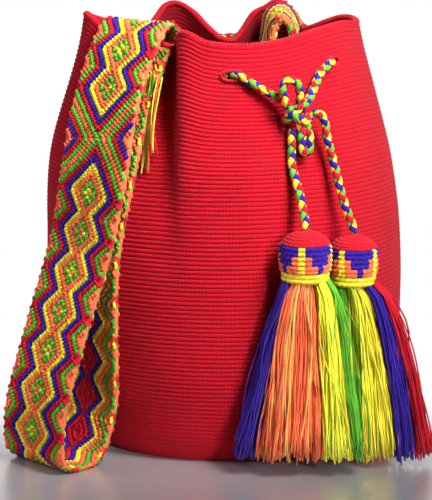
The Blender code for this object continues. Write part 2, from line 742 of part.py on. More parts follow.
def make_hank(name, top, neck, hem, colour):
    # A bundle of threads that spreads from the neck to the hem, with a fluted outline
    segments = 16
    rows = 7
    verts = []
    for r in range(rows):
        down = r / (rows - 1)
        spread = down ** SKIRT_FLARE
        x = neck[0] + (hem[0] - neck[0]) * spread
        y = neck[1] + (hem[1] - neck[1]) * spread
        wide = neck[2] + (hem[2] - neck[2]) * spread
        deep = neck[3] + (hem[3] - neck[3]) * spread
        for k in range(segments):
            turn = 2.0 * math.pi * k / segments
            flute = 1.0 if k % 2 == 0 else 0.90
            verts.append(top + Vector((x + wide * flute * math.cos(turn),
                                       y + deep * flute * math.sin(turn),
                                       -CAP_HEIGHT - GAP - SKIRT_LENGTH * down)))
    faces = [list(range(segments))]
    for r in range(rows - 1):
        for k in range(segments):
            m = (k + 1) % segments
            a = r * segments
            b = a + segments
            faces.append([a + m, a + k, b + k, b + m])
    last = (rows - 1) * segments
    faces.append([last + k for k in reversed(range(segments))])
    add_mesh(name, verts, faces, colour)


def make_tassels():
    make_cap("tassel_left_cap", LEFT_CAP, CAP_RADIUS, BLUE)
    make_cap("tassel_right_cap", RIGHT_CAP, RIGHT_CAP_RADIUS, BLUE)
    for word, colour, neck, hem in LEFT_HANKS:
        make_hank("tassel_left_threads_" + word, LEFT_CAP, neck, hem, colour)
    for word, colour, neck, hem in RIGHT_HANKS:
        make_hank("tassel_right_threads_" + word, RIGHT_CAP, neck, hem, colour)


def main():
    clear_scene()
    make_body()
    make_strap()
    make_strap_ends()
    make_drawstring()
    make_tassels()


main()
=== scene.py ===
import math

import bpy
import numpy as np
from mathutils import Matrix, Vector


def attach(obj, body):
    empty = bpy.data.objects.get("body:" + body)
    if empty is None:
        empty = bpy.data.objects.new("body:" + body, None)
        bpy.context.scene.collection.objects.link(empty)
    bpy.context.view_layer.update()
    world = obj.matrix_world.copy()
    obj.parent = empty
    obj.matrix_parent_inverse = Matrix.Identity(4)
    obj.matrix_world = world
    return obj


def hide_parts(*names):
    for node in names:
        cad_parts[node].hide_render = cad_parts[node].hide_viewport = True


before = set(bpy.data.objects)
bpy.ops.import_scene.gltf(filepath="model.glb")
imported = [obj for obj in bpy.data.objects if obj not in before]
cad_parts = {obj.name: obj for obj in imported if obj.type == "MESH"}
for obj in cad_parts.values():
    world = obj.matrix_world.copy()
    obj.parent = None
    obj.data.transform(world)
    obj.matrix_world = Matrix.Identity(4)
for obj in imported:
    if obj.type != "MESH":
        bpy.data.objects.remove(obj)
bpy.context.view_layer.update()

scene = bpy.context.scene
rng = np.random.default_rng(11)

# Colours of the yarns, as the eye sees them, red green blue
yarnColours = {
    "crimson": (0.47, 0.005, 0.016),
    "coral": (1.0, 0.150, 0.055),
    "sunYellow": (0.90, 0.64, 0.035),
    "leafGreen": (0.105, 0.38, 0.022),
    "violetBlue": (0.030, 0.008, 0.26),
    "wineRed": (0.52, 0.006, 0.022),
    "lemon": (0.90, 1.0, 0.055),
    "peach": (1.0, 0.43, 0.10),
}


# Small tools shared by the pieces

def curveThrough(table, x):  # smooth curve through a table of pairs
    xs = np.array([p[0] for p in table], float)
    ys = np.array([p[1] for p in table], float)
    x = np.clip(np.asarray(x, float), xs[0], xs[-1])
    i = np.clip(np.searchsorted(xs, x, side="left") - 1, 0, len(xs) - 2)
    span = xs[i + 1] - xs[i]
    step = (ys[i + 1] - ys[i]) / span
    h = np.maximum(i - 1, 0)
    j = np.minimum(i + 2, len(xs) - 1)
    before = np.where(i > 0, (ys[i + 1] - ys[h]) / np.maximum(xs[i + 1] - xs[h], 1e-9), step)
    after = np.where(i + 2 < len(xs), (ys[j] - ys[i]) / (xs[j] - xs[i]), step)
    t = (x - xs[i]) / span
    low = ys[i] * (1 + 2 * t) * (1 - t) ** 2 + before * span * t * (1 - t) ** 2
    return low + ys[i + 1] * t * t * (3 - 2 * t) + after * span * t * t * (t - 1)


def smoothStep(x):
    x = np.clip(x, 0.0, 1.0)
    return x * x * (3.0 - 2.0 * x)


def unit(v):
    return v / np.maximum(np.linalg.norm(v, axis=-1, keepdims=True), 1e-12)


def runAlong(line):  # distance from its start at each point of a line
    return np.concatenate([[0], np.cumsum(np.linalg.norm(np.diff(line, axis=0), axis=1))])


def readAt(goals, run, table):  # rows of a table read at other distances
    return np.stack([np.interp(goals, run, table[:, k]) for k in range(3)], axis=-1)


def circle(count):
    return 2 * np.pi * np.arange(count) / count


def spline(points, steps):  # smooth line through the points, with some steps to each stretch
    p = np.array(points, float)
    fine = []
    for i in range(len(p) - 1):
        a, b, c, d = p[max(0, i - 1)], p[i], p[i + 1], p[min(len(p) - 1, i + 2)]
        for t in np.arange(steps) / steps:
            fine.append(0.5 * (2 * b + (c - a) * t + (2 * a - 5 * b + 4 * c - d) * t * t
                               + (3 * b - a - 3 * c + d) * t ** 3))
    return np.array(fine + [p[-1]])


def smoothPath(points, spacing):  # even steps along a smooth line through the points
    fine = spline(points, 24)
    run = runAlong(fine)
    return readAt(np.linspace(0, run[-1], max(3, int(round(run[-1] / spacing)) + 1)), run, fine)


def turningFrame(path):  # two directions that don't twist round the line
    tangent = unit(np.gradient(path, axis=0))
    start = np.array([0.0, 0.0, 1.0]) if abs(tangent[0][2]) < 0.8 else np.array([0.0, -1.0, 0.0])
    side = np.zeros_like(path)
    side[0] = unit(start - tangent[0] * start.dot(tangent[0]))
    for i in range(1, len(path)):
        s = side[i - 1] - tangent[i] * side[i - 1].dot(tangent[i])
        side[i] = s / np.linalg.norm(s)
    return side, np.cross(tangent, side)


def makePiece(name, verts, faces, materials, faceColours=None, uv=None):
    mesh = bpy.data.meshes.new(name)
    verts = np.array(verts, float).reshape(-1, 3)
    verts[:, 2] = np.maximum(verts[:, 2], 0.0)  # nothing sinks into the floor
    mesh.from_pydata(verts.tolist(), [], faces if isinstance(faces, list) else faces.tolist())
    mesh.shade_smooth()
    for material in materials:
        mesh.materials.append(material)
    if faceColours is not None:
        mesh.polygons.foreach_set("material_index", np.asarray(faceColours, np.int32))
    layer = mesh.uv_layers.new(name="UVMap")
    corner = np.zeros(len(mesh.loops), np.int32)
    mesh.loops.foreach_get("vertex_index", corner)
    uv = verts[:, [0, 2]] * 8.0 if uv is None else uv.reshape(-1, 2)
    layer.data.foreach_set("uv", uv[corner].ravel())
    mesh.update()
    piece = bpy.data.objects.new(name, mesh)
    scene.collection.objects.link(piece)
    return piece


def gridFaces(rows, columns, closed):  # quads of a grid, closed round its columns
    r = np.arange(rows - 1)[:, None]
    c = np.arange(columns if closed else columns - 1)[None, :]
    d = (c + 1) % columns
    quads = np.stack([r * columns + c, r * columns + d, (r + 1) * columns + d,
                      (r + 1) * columns + c], axis=-1)
    return quads.reshape(-1, 4)


def tubeFaces(count, sides):  # rings of points joined into a tube with closed ends
    return gridFaces(count, sides, True).tolist() + [
        list(range(sides))[::-1], [(count - 1) * sides + k for k in range(sides)]]


def ellipses(line, side, other, around, wide, high):  # a ring of points round each of a line
    return (line[..., None, :] + side[..., None, :] * (np.cos(around) * wide)[..., None]
            + other[..., None, :] * (np.sin(around) * high)[..., None])


def hoopFaces(count, sides):  # a tube that closes from its last ring to its first
    k = np.arange(sides)
    m = (k + 1) % sides
    last = np.stack([(count - 1) * sides + k, (count - 1) * sides + m, m, k], axis=1)
    return np.concatenate([gridFaces(count, sides, True), last])


def repeatFaces(pattern, count, each):  # the same faces for many equal parts
    return [[v + i * each for v in face] for i in range(count) for face in pattern]


def joinParts(parts):  # several (verts, faces, colour) as one set of lists
    verts, faces, colours, start = [], [], [], 0
    for v, f, colour in parts:
        verts.append(v)
        faces += [[i + start for i in face] for face in f]
        colours += [colour] * len(f)
        start += len(v)
    return np.concatenate(verts), faces, colours


# Yarn materials

def setSockets(tree, node, sockets):  # each one takes a value or another node's output
    for key, value in sockets.items():
        socket = node.inputs[key if isinstance(key, int) else key.replace("_", " ")]
        if hasattr(value, "is_output"):
            tree.links.new(value, socket)
        else:
            socket.default_value = value
    return node


def addNode(tree, kind, **sockets):
    return setSockets(tree, tree.nodes.new("ShaderNode" + kind), sockets)


def mathNode(tree, operation, *values):
    node = tree.nodes.new("ShaderNodeMath")
    node.operation = operation
    return setSockets(tree, node, dict(enumerate(values))).outputs[0]


def newMaterial(name, **sockets):  # a material, its nodes and its main shader
    material = bpy.data.materials.new(name)
    material.use_nodes = True
    tree = material.node_tree
    return material, tree, setSockets(tree, tree.nodes["Principled BSDF"], sockets)


def noise(tree, scale, detail):
    where = addNode(tree, "TexCoord").outputs["Object"]
    return addNode(tree, "TexNoise", Vector=where, Scale=scale, Detail=detail).outputs["Fac"]


def colourAndRaise(tree, shader, colour, tone, stops, height, look):
    # Stops of the ramp: place, and share of the colour
    ramp = addNode(tree, "ValToRGB", Fac=tone)
    elements = ramp.color_ramp.elements
    for k, (place, share) in enumerate(stops):
        stop = elements[k] if k < 2 else elements.new(place)
        stop.position = place
        stop.color = (*[min(1.0, c * share) for c in colour], 1)
    raised = addNode(tree, "Bump", Strength=look["bump"], Distance=look["depth"], Height=height)
    setSockets(tree, shader, {"Base_Color": ramp.outputs["Color"],
                              "Normal": raised.outputs["Normal"]})


# fleck sets how much the fine bump noise darkens the yarn: a painted shade between the fibres
yarnLook = {"light": 1.25, "dark": 0.62, "bump": 0.3, "depth": 0.0004, "patches": 60.0,
            "fibres": 2600.0, "fibreShade": 0.55, "lowTone": 0.42, "highTone": 0.92}
# For the crochet, the dark end of the stops colours the grooves between rows and between stitches:
# painted shade, mixed with random patches of tone
crochetLook = {"slant": 0.55, "stitchDepth": 0.60, "ridgePower": 0.55, "form": 0.85,
               "fuzz": 0.35, "patchTone": 0.45, "toneShift": 0.25, "patches": 45.0,
               "fibres": 2200.0, "bump": 0.5, "depth": 0.0009,
               "stops": [(0.05, 0.50), (0.95, 1.12), (0.5, 0.86)]}


def yarnMaterial(name, colour, **changes):
    # Yarn: two tones of its colour, darker flecks of painted shade where the fine fibre bump is
    # low, random patches of tone, and a fuzzy surface
    look = {**yarnLook, **changes}
    material, tree, shader = newMaterial(name, Roughness=0.78, Sheen_Weight=0.08,
                                         Sheen_Roughness=0.45, Specular_IOR_Level=0.15)
    fine = noise(tree, look["fibres"], 2.0)
    tone = mathNode(tree, "MULTIPLY_ADD", fine, look["fibreShade"], noise(tree, look["patches"], 3.0))
    stops = [(look["lowTone"], look["dark"]), (look["highTone"], look["light"])]
    colourAndRaise(tree, shader, colour, tone, stops, fine, look)
    return material


def humps(tree, source):  # one round hump for every unit
    turn = mathNode(tree, "MULTIPLY", source, math.pi)
    return mathNode(tree, "ABSOLUTE", mathNode(tree, "SINE", turn))


def crochetMaterial(name, colour, shade=1.0):
    # Single crochet: rows of slanting stitches read from the UV map, one unit to a stitch
    look = crochetLook
    material, tree, shader = newMaterial(name, Roughness=0.85, Sheen_Weight=0.05,
                                         Sheen_Roughness=0.5, Specular_IOR_Level=0.08)
    split = addNode(tree, "SeparateXYZ", Vector=addNode(tree, "TexCoord").outputs["UV"])
    across, up = split.outputs[0], split.outputs[1]
    slant = mathNode(tree, "MULTIPLY_ADD", mathNode(tree, "FRACT", up), look["slant"], across)
    stitch = mathNode(tree, "MULTIPLY_ADD", humps(tree, slant), look["stitchDepth"],
                      1.0 - look["stitchDepth"])
    ridge = mathNode(tree, "POWER", humps(tree, up), look["ridgePower"])
    height = mathNode(tree, "MULTIPLY", mathNode(tree, "MULTIPLY", stitch, ridge), look["form"])
    fuzz = mathNode(tree, "MULTIPLY_ADD", noise(tree, look["fibres"], 3.0), look["fuzz"], height)
    # The tone follows the stitch height carried in fuzz, so the grooves between rows and between
    # stitches come out darker: painted shade; the fibre noise and the patches add random tone
    tone = mathNode(tree, "MULTIPLY_ADD", noise(tree, look["patches"], 4.0), look["patchTone"],
                    mathNode(tree, "SUBTRACT", fuzz, look["toneShift"]))
    # shade scales every stop down: a painted shade for a copy of the crochet that lies in shadow
    stops = [(place, share * shade) for place, share in look["stops"]]
    colourAndRaise(tree, shader, colour, tone, stops, fuzz, look)
    return material


yarns = {key: yarnMaterial(key + "Yarn", colour) for key, colour in yarnColours.items()}
print("yarns ready")

# Camera, floor and light

photoView = {"place": (-0.0065, -1.5, 0.42), "pitchDegrees": 79.0, "focalPixels": 2069.0,
             "heightPixels": 500.0, "sensor": 36.0}

cameraData = bpy.data.cameras.new("photoCamera")
cameraData.sensor_fit = "VERTICAL"
cameraData.sensor_height = photoView["sensor"]
cameraData.lens = photoView["focalPixels"] * photoView["sensor"] / photoView["heightPixels"]
camera = bpy.data.objects.new("photoCamera", cameraData)
camera.location = photoView["place"]
camera.rotation_euler = (math.radians(photoView["pitchDegrees"]), 0, 0)
scene.collection.objects.link(camera)
scene.camera = camera
scene.view_settings.view_transform = "Standard"

studio = {"floorSize": 3.0, "floorTone": (0.40, 0.38, 0.41), "floorRoughness": 0.6,
          "floorShine": 0.46, "shineRoughness": 0.28, "fadeStart": -0.10, "fadeEnd": 0.05,
          "worldLight": 0.055}
# Lamps: name, place, target, size in metres, power in watts and spread in degrees
lamps = [("keyLamp", (0.30, -0.42, 0.72), (-0.01, -0.10, 0.32), 0.28, 1.45, 54),
         ("sideLamp", (-1.05, -0.30, 0.62), (-0.10, -0.10, 0.14), 0.45, 4.2, 180),
         ("frontLamp", (0.75, -1.3, 0.60), (0.13, -0.14, 0.10), 0.3, 0.29, 16)]


def seenStrength(tree):  # full white where it is seen or mirrored, dimmer as a source of light
    rays = addNode(tree, "LightPath").outputs
    plain = mathNode(tree, "SUBTRACT", 1.0, rays["Diffuse Depth"])
    plain.node.use_clamp = True
    mirrored = mathNode(tree, "MULTIPLY", rays["Is Glossy Ray"], plain)
    seen = mathNode(tree, "MAXIMUM", rays["Is Camera Ray"], mirrored)
    return addNode(tree, "MapRange", Value=seen, To_Min=studio["worldLight"],
                   To_Max=1.0).outputs[0]


def mixShaders(tree, share, first, second):
    mixer = addNode(tree, "MixShader", Fac=share)
    return setSockets(tree, mixer, {1: first.outputs[0], 2: second.outputs[0]})


def makeFloor():
    s = studio["floorSize"]
    mesh = bpy.data.meshes.new("studioFloor")
    mesh.from_pydata([(-s, -s, 0), (s, -s, 0), (s, s, 0), (-s, s, 0)], [], [(0, 1, 2, 3)])
    floor = bpy.data.objects.new("studioFloor", mesh)
    scene.collection.objects.link(floor)
    material, tree, shader = newMaterial(
        "studioFloor", Roughness=studio["floorRoughness"], Specular_IOR_Level=0.0,
        Base_Color=(*studio["floorTone"], 1))
    shine = addNode(tree, "BsdfAnisotropic", Roughness=studio["shineRoughness"])
    polished = mixShaders(tree, studio["floorShine"], shader, shine)
    # Behind the bag the floor fades into the plain white background
    split = addNode(tree, "SeparateXYZ", Vector=addNode(tree, "TexCoord").outputs["Object"])
    fade = addNode(tree, "MapRange", Value=split.outputs[1], From_Min=studio["fadeStart"],
                   From_Max=studio["fadeEnd"])
    fade.interpolation_type = "SMOOTHSTEP"
    white = addNode(tree, "Emission", Strength=seenStrength(tree))
    mixed = mixShaders(tree, fade.outputs[0], polished, white)
    tree.links.new(mixed.outputs[0], tree.nodes["Material Output"].inputs[0])
    mesh.materials.append(material)


def addLamp(name, place, target, size, power, spread):
    data = bpy.data.lights.new(name, "AREA")
    data.size = size
    data.energy = power
    data.spread = math.radians(spread)
    lamp = bpy.data.objects.new(name, data)
    lamp.location = place
    lamp.rotation_euler = (Vector(target) - Vector(place)).to_track_quat("-Z", "Y").to_euler()
    scene.collection.objects.link(lamp)


def makeWorld():
    scene.world = bpy.data.worlds.new("studioWorld")
    scene.world.use_nodes = True
    tree = scene.world.node_tree
    setSockets(tree, tree.nodes["Background"], {"Color": (1, 1, 1, 1),
                                                "Strength": seenStrength(tree)})


makeFloor()
makeWorld()
for values in lamps:
    addLamp(*values)
print("studio ready")

# The braided cord: the cords come first

braid = {"diameter": 0.006, "pitch": 0.0155, "ringStep": 0.0010, "strandAcross": 0.00205,
         "strandDeep": 0.00095, "strandRadius": 0.00180, "weave": 0.00050, "sides": 7,
         "closedEnd": 0.62, "endRun": 0.0016}
strandYarns = [yarns["leafGreen"], yarns["sunYellow"], yarns["violetBlue"], yarns["wineRed"]]

mouthRoute = [
    (0.0388, -0.1146, 0.253), (0.0325, -0.115, 0.2566), (0.0225, -0.114, 0.2618),
    (0.0101, -0.111, 0.269), (0.0042, -0.1068, 0.269), (-0.0017, -0.1026, 0.269),
    (-0.0156, -0.089, 0.2712), (-0.0356, -0.0665, 0.2725), (-0.0554, -0.0581, 0.274),
    (-0.0693, -0.047, 0.275), (-0.0828, -0.0297, 0.2755), (-0.0948, -0.0172, 0.276),
    (-0.0975, -0.0047, 0.276), (-0.0988, 0.0024, 0.276), (-0.1002, 0.0095, 0.276),
    (-0.0909, 0.023, 0.2765), (-0.0862, 0.0369, 0.2768), (-0.0839, 0.0434, 0.277),
    (-0.0733, 0.0583, 0.277), (-0.0624, 0.0736, 0.277), (-0.056, 0.0768, 0.277),
    (-0.0495, 0.0799, 0.277), (-0.0397, 0.0899, 0.2765), (-0.0302, 0.0934, 0.2755),
    (-0.0232, 0.0949, 0.2755), (-0.0161, 0.0965, 0.2755), (0.0149, 0.0979, 0.2775),
    (0.0383, 0.1034, 0.2785), (0.0533, 0.0984, 0.2785), (0.0631, 0.0859, 0.2785),
    (0.0716, 0.0701, 0.278), (0.0838, 0.0482, 0.277), (0.0802, 0.0431, 0.276),
    (0.0899, 0.028, 0.2757), (0.0963, 0.0148, 0.2755), (0.0945, 0.0079, 0.2755),
    (0.0927, 0.0009, 0.2755), (0.0917, -0.0083, 0.2755), (0.0905, -0.0238, 0.2755),
    (0.0857, -0.0396, 0.2755), (0.079, -0.054, 0.2755), (0.0728, -0.0664, 0.2755),
    (0.0726, -0.0736, 0.2755), (0.0725, -0.0808, 0.2755), (0.0645, -0.0925, 0.269),
    (0.0615, -0.099, 0.2635), (0.058, -0.107, 0.2565), (0.0545, -0.113, 0.2512)]
leftTail = [(0.0447, -0.1165, 0.2338), (0.0446, -0.1172, 0.2232), (0.0446, -0.1190, 0.2116),
            (0.0464, -0.1220, 0.2028), (0.0501, -0.1275, 0.1905), (0.0524, -0.1330, 0.1790),
            (0.0535, -0.1375, 0.1721), (0.0537, -0.1383, 0.1690)]
rightTail = [(0.0590, -0.1165, 0.2452), (0.0640, -0.1140, 0.2432), (0.0670, -0.1120, 0.2375),
             (0.0682, -0.1110, 0.2287), (0.0712, -0.1110, 0.2171), (0.0745, -0.1120, 0.2050),
             (0.0796, -0.1150, 0.1855), (0.0868, -0.1194, 0.1662),
             (0.0876, -0.1198, 0.1634)]
# The knot: a bow over it, a short bow under it, and two turns of cord that bind them
knotBow = [(0.0470, -0.1175, 0.2440), (0.0408, -0.1215, 0.2515), (0.0383, -0.1230, 0.2590),
           (0.0393, -0.1232, 0.2655), (0.0437, -0.1232, 0.2680), (0.0483, -0.1228, 0.2650),
           (0.0497, -0.1212, 0.2580), (0.0500, -0.1185, 0.2500), (0.0508, -0.1160, 0.2440)]
knotDrop = [(0.0490, -0.1170, 0.2420), (0.0512, -0.1178, 0.2340), (0.0515, -0.1182, 0.2260),
            (0.0525, -0.1185, 0.2195), (0.0548, -0.1184, 0.2185), (0.0566, -0.1178, 0.2230),
            (0.0562, -0.1168, 0.2310), (0.0530, -0.1155, 0.2400)]
knotBinds = [
    [(0.0560, -0.1130, 0.2520), (0.0520, -0.1190, 0.2510), (0.0470, -0.1208, 0.2470),
     (0.0425, -0.1190, 0.2425), (0.0405, -0.1150, 0.2400), (0.0430, -0.1110, 0.2410)],
    [(0.0395, -0.1145, 0.2515), (0.0430, -0.1195, 0.2480), (0.0475, -0.1212, 0.2425),
     (0.0525, -0.1200, 0.2395), (0.0560, -0.1165, 0.2415), (0.0565, -0.1130, 0.2440)]]


def braidParts(points, startPhase, facing):
    # Four flat strands: two turn one way and two the other, over and under in turn
    path = smoothPath(points, braid["ringStep"])
    side, other = turningFrame(path)
    run = runAlong(path)
    turn = 2 * np.pi * run / braid["pitch"] + startPhase
    around = circle(braid["sides"])
    fromEnd = np.minimum(run, run[-1] - run) / braid["endRun"]
    closeIn = braid["closedEnd"] + (1.0 - braid["closedEnd"]) * smoothStep(fromEnd)
    parts = []
    for strand in range(4):
        way = 1.0 if strand < 2 else -1.0
        angle = way * turn + (np.pi * (strand % 2) + facing)
        out = side * np.cos(angle)[:, None] + other * np.sin(angle)[:, None]
        far = (braid["strandRadius"] + way * braid["weave"] * np.cos(2 * turn)) * closeIn
        line = path + out * far[:, None]
        across = unit(np.cross(unit(np.gradient(line, axis=0)), out))
        rings = ellipses(line, across, out, around, (braid["strandAcross"] * closeIn)[:, None],
                         (braid["strandDeep"] * closeIn)[:, None])
        parts.append((rings.reshape(-1, 3), tubeFaces(*rings.shape[:2]), strand))
    return parts, path


def makeBraid(name, pointLists, startPhase, facing):
    parts, paths = [], []
    for points in pointLists:
        found, path = braidParts(points, startPhase, facing)
        parts += found
        paths.append(path)
    verts, faces, colours = joinParts(parts)
    piece = makePiece(name, verts, faces, strandYarns, colours)
    return piece, paths[0]


drawstring, drawstringPath = makeBraid("drawstring_braid", [mouthRoute], 0.0, math.pi / 2)
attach(drawstring, "bag")
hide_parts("drawstring")
knot, _ = makeBraid("drawstring_knot_braid", [knotBow, knotDrop] + knotBinds, 0.8, 0.9)
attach(knot, "bag")
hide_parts("drawstring_knot")
tails = {}
for sideName, points in (("left", leftTail), ("right", rightTail)):
    tail, tailPath = makeBraid("drawstring_tail_%s_braid" % sideName, [points], 0.4, 0.6)
    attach(tail, "tail_" + sideName)
    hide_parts("drawstring_tail_" + sideName)
    tails[sideName] = (tail, tailPath)
print("cords ready")

# The crocheted body

bag = {"height": 0.298, "radius": 0.1300, "baseRadius": 0.110, "rimRadius": 0.103,
       "wall": 0.004, "lean": 0.004, "sideSag": 0.0060, "foldStart": 0.38, "grooveDepth": 0.0035,
       "rowPitch": 0.0031, "rowSamples": 5, "columns": 200, "ridge": 0.00062,
       "stitches": 336, "innerColumns": 120, "innerSamples": 3, "baseColumns": 108,
       "widest": 0.48, "grooveAngle": 19.0, "grooveWide": 7.0, "grooveShare": 0.33,
       "sagAngle": 92.0, "sagWide": 36.0, "sagShare": 0.70, "lowRow": 0.35, "highRow": 0.97}
base = {"ground": 0.0006, "inside": 0.0030, "hole": 0.0008, "ridge": 0.0005}
rim = {"steps": 1200, "sides": 10, "wide": 0.00245, "high": 0.00200, "stitchSteps": 4.0,
       "stitchBump": 0.16, "sink": 0.0004}
belly = [(0.0, 0.0), (0.03, 0.36), (0.075, 0.60), (0.2, 0.90), (0.35, 1.0), (0.48, 1.0)]
shoulder = [(0.48, 0.0), (0.56, 0.03), (0.67, 0.15), (0.73, 0.27), (0.84, 0.57),
            (0.94, 0.86), (1.0, 1.0)]
folds = [(-180, 0.76), (-174, 0.835), (-170, 0.90), (-165, 0.96), (-160, 0.985),
         (-152, 0.955), (-144, 0.885), (-135, 0.80), (-126, 0.735), (-116, 0.70), (-107, 0.745),
         (-98, 0.85), (-88, 0.93), (-76, 0.95), (-66, 0.895), (-56, 0.835), (-41, 0.795),
         (-30, 0.785), (-24, 0.790), (-20, 0.850), (-16.5, 0.965), (-9, 1.01), (5, 1.015),
         (25, 1.01), (45, 1.0), (62, 0.985), (80, 0.98), (92, 0.945), (101, 0.885),
         (110, 0.785), (118, 0.725), (125, 0.775), (132, 0.86), (139, 0.955), (147, 1.005),
         (155, 1.0), (160, 0.955), (164, 0.87), (168, 0.76), (173, 0.70), (177, 0.72),
         (180, 0.76)]
rimRise = [(-180, -0.0187), (-174, -0.011), (-169, -0.002), (-162, 0.0052), (-155, 0.004),
           (-149, -0.004), (-141, -0.0115), (-130, -0.013), (-116, -0.010), (-100, -0.0015),
           (-80, 0.0060), (-72, 0.0035), (-65, -0.0025), (-45, -0.003), (-34, -0.0065),
           (-28, -0.0115), (-22, -0.0115), (-17, -0.002), (-13, -0.001), (-5, -0.007),
           (10, -0.009), (25, -0.0065), (40, -0.001), (58, 0.002), (75, 0.0), (100, 0.001),
           (118, -0.009), (132, -0.010), (140, -0.0095), (146, -0.002), (151, 0.0055),
           (155, 0.0070), (160, 0.002), (164, -0.002), (168, -0.013), (172, -0.020),
           (176, -0.0205), (180, -0.0187)]
# Eyelets: middle of the wall there, and the direction along the wall
eyelets = {"halfLength": 0.0076, "halfHeight": 0.0034, "edge": 0.0012, "deep": 0.0029,
           "reach": 0.007, "steps": 60, "sides": 8, "follow": 0.8, "stitchBump": 0.15,
           "places": [((0.0042, -0.1068, 0.2690), (0.9971, 0.0767)),
                      ((-0.0988, 0.0024, 0.2760), (-0.4898, -0.8719)),
                      ((-0.0560, 0.0768, 0.2770), (-0.4025, -0.9154)),
                      ((-0.0232, 0.0949, 0.2755), (-0.8847, 0.4661)),
                      ((0.0945, 0.0079, 0.2755), (-0.4334, 0.9012)),
                      ((0.0726, -0.0736, 0.2755), (0.6577, 0.7533))]}


def wrapAngle(angle):
    return (angle + 180.0) % 360.0 - 180.0


def plainRadius(share):
    low = bag["baseRadius"] + (bag["radius"] - bag["baseRadius"]) * curveThrough(belly, share)
    high = bag["radius"] - (bag["radius"] - bag["rimRadius"]) * curveThrough(shoulder, share)
    return np.where(share <= bag["widest"], low, high)


def wallHeight(angle, share):
    rise = curveThrough(rimRise, wrapAngle(angle)) * smoothStep((share - 0.6) / 0.4)
    return bag["height"] * share + rise


def wallRadius(angle, share):
    plain = plainRadius(share)
    turn = np.radians(angle)
    narrow = (plain / bag["rimRadius"] - 1.0) * np.sin(turn) * np.cos(turn / 2.0) ** 2
    fold = curveThrough(folds, wrapAngle(angle + np.degrees(narrow))) - 1.0
    depth = smoothStep((share - bag["foldStart"]) / (1.0 - bag["foldStart"]))
    groove = np.exp(-((angle - bag["grooveAngle"]) / bag["grooveWide"]) ** 2
                    - ((share - bag["grooveShare"]) / 0.2) ** 2)
    # A soft sag of the wall beside the strap, highest at its middle
    away = wrapAngle(angle + bag["sagAngle"])
    beside = np.clip(np.abs(away) / bag["sagWide"], 0.0, 1.0)
    above = np.clip(np.abs(share - bag["sagShare"]) / 0.25, 0.0, 1.0)
    sag = (np.cos(beside * math.pi / 2) * np.cos(above * math.pi / 2)) ** 2
    return plain * (1.0 + fold * depth) - bag["grooveDepth"] * groove + bag["sideSag"] * sag


def placeAt(angle, radius, z):
    turn = np.radians(angle)
    lean = -bag["lean"] * (z / bag["height"]) ** 2
    return np.stack([radius * np.sin(turn) + lean, -radius * np.cos(turn), z], axis=-1)


def wallPoint(angle, share, inset=0.0):
    z = wallHeight(angle, share)
    here = placeAt(angle, wallRadius(angle, share), z)
    before = placeAt(angle - 0.7, wallRadius(angle - 0.7, share), z)
    after = placeAt(angle + 0.7, wallRadius(angle + 0.7, share), z)
    along = unit(after - before)
    inward = np.stack([-along[..., 1], along[..., 0], 0 * z], axis=-1)
    return here + inward * inset


def evenAngles(count, share):  # angles at equal steps along the folded wall
    fine = np.linspace(-180.0, 180.0, 2881)
    run = runAlong(wallPoint(fine, np.full(fine.shape, share)))
    return np.interp(np.arange(count) / count * run[-1], run, fine)


def rowShares(samples):  # height shares at even steps up the wall, with each one's row phase
    share = np.linspace(0.0, 1.0, 1200)
    run = runAlong(np.stack([plainRadius(share), share * bag["height"]], axis=1))
    rows = int(round(run[-1] / bag["rowPitch"]))
    steps = np.arange(rows * samples + 1) / samples
    return np.interp(steps / rows * run[-1], run, share), steps


def wallGrid(samples, columns, inset, ridge):
    shares, steps = rowShares(samples)
    low, high = evenAngles(columns, bag["lowRow"]), evenAngles(columns, bag["highRow"])
    mix = smoothStep((shares - bag["lowRow"]) / (bag["highRow"] - bag["lowRow"]))[:, None]
    angles = low[None, :] * (1 - mix) + high[None, :] * mix
    share = np.repeat(shares[:, None], columns, axis=1)
    grid = wallPoint(angles, share, inset)
    if inset:
        nearBase = smoothStep(share[..., None] / 0.02)
        height = np.maximum(share * bag["height"], inset)
        floorInside = placeAt(angles, plainRadius(share) - inset, height)
        grid = floorInside * (1 - nearBase) + grid * nearBase
    around = np.roll(grid, -1, axis=1) - np.roll(grid, 1, axis=1)
    outward = unit(np.cross(around, np.gradient(grid, axis=0)))
    lift = ridge * (np.abs(np.sin(np.pi * (steps % 1.0))) ** 0.6 - 0.62)
    lift[0] = lift[-1] = 0.0
    return grid + outward * lift[:, None, None] * (-1.0 if inset else 1.0), steps


def eyeletAxes(middle, along):  # its middle, and its directions along and out of the wall
    along = np.array([along[0], along[1], 0.0])
    return np.array(middle), along, np.array([along[1], -along[0], 0.0])


def openEyelets(verts, faces):
    # Faces inside an eyelet go, and the corners round it move to its outline
    keep = np.ones(len(faces), bool)
    for values in eyelets["places"]:
        middle, along, out = eyeletAxes(*values)
        away = verts - middle
        near = np.abs(away @ out) < eyelets["reach"]
        x = (away @ along) / eyelets["halfLength"]
        z = away[:, 2] / eyelets["halfHeight"]
        q = np.sqrt(x * x + z * z)
        inside = near & (q < 1.0)
        keep &= ~inside[faces].all(axis=1)
        edge = np.zeros(len(verts), bool)
        touched = inside[faces].any(axis=1) & keep
        edge[faces[touched].ravel()] = True
        edge &= inside
        push = 1.0 / np.maximum(q[edge], 0.2) - 1.0
        verts[edge] += (along * (away[edge] @ along)[:, None]
                        + np.array([0, 0, 1.0]) * away[edge][:, 2:3]) * push[:, None]
    return verts, faces[keep]


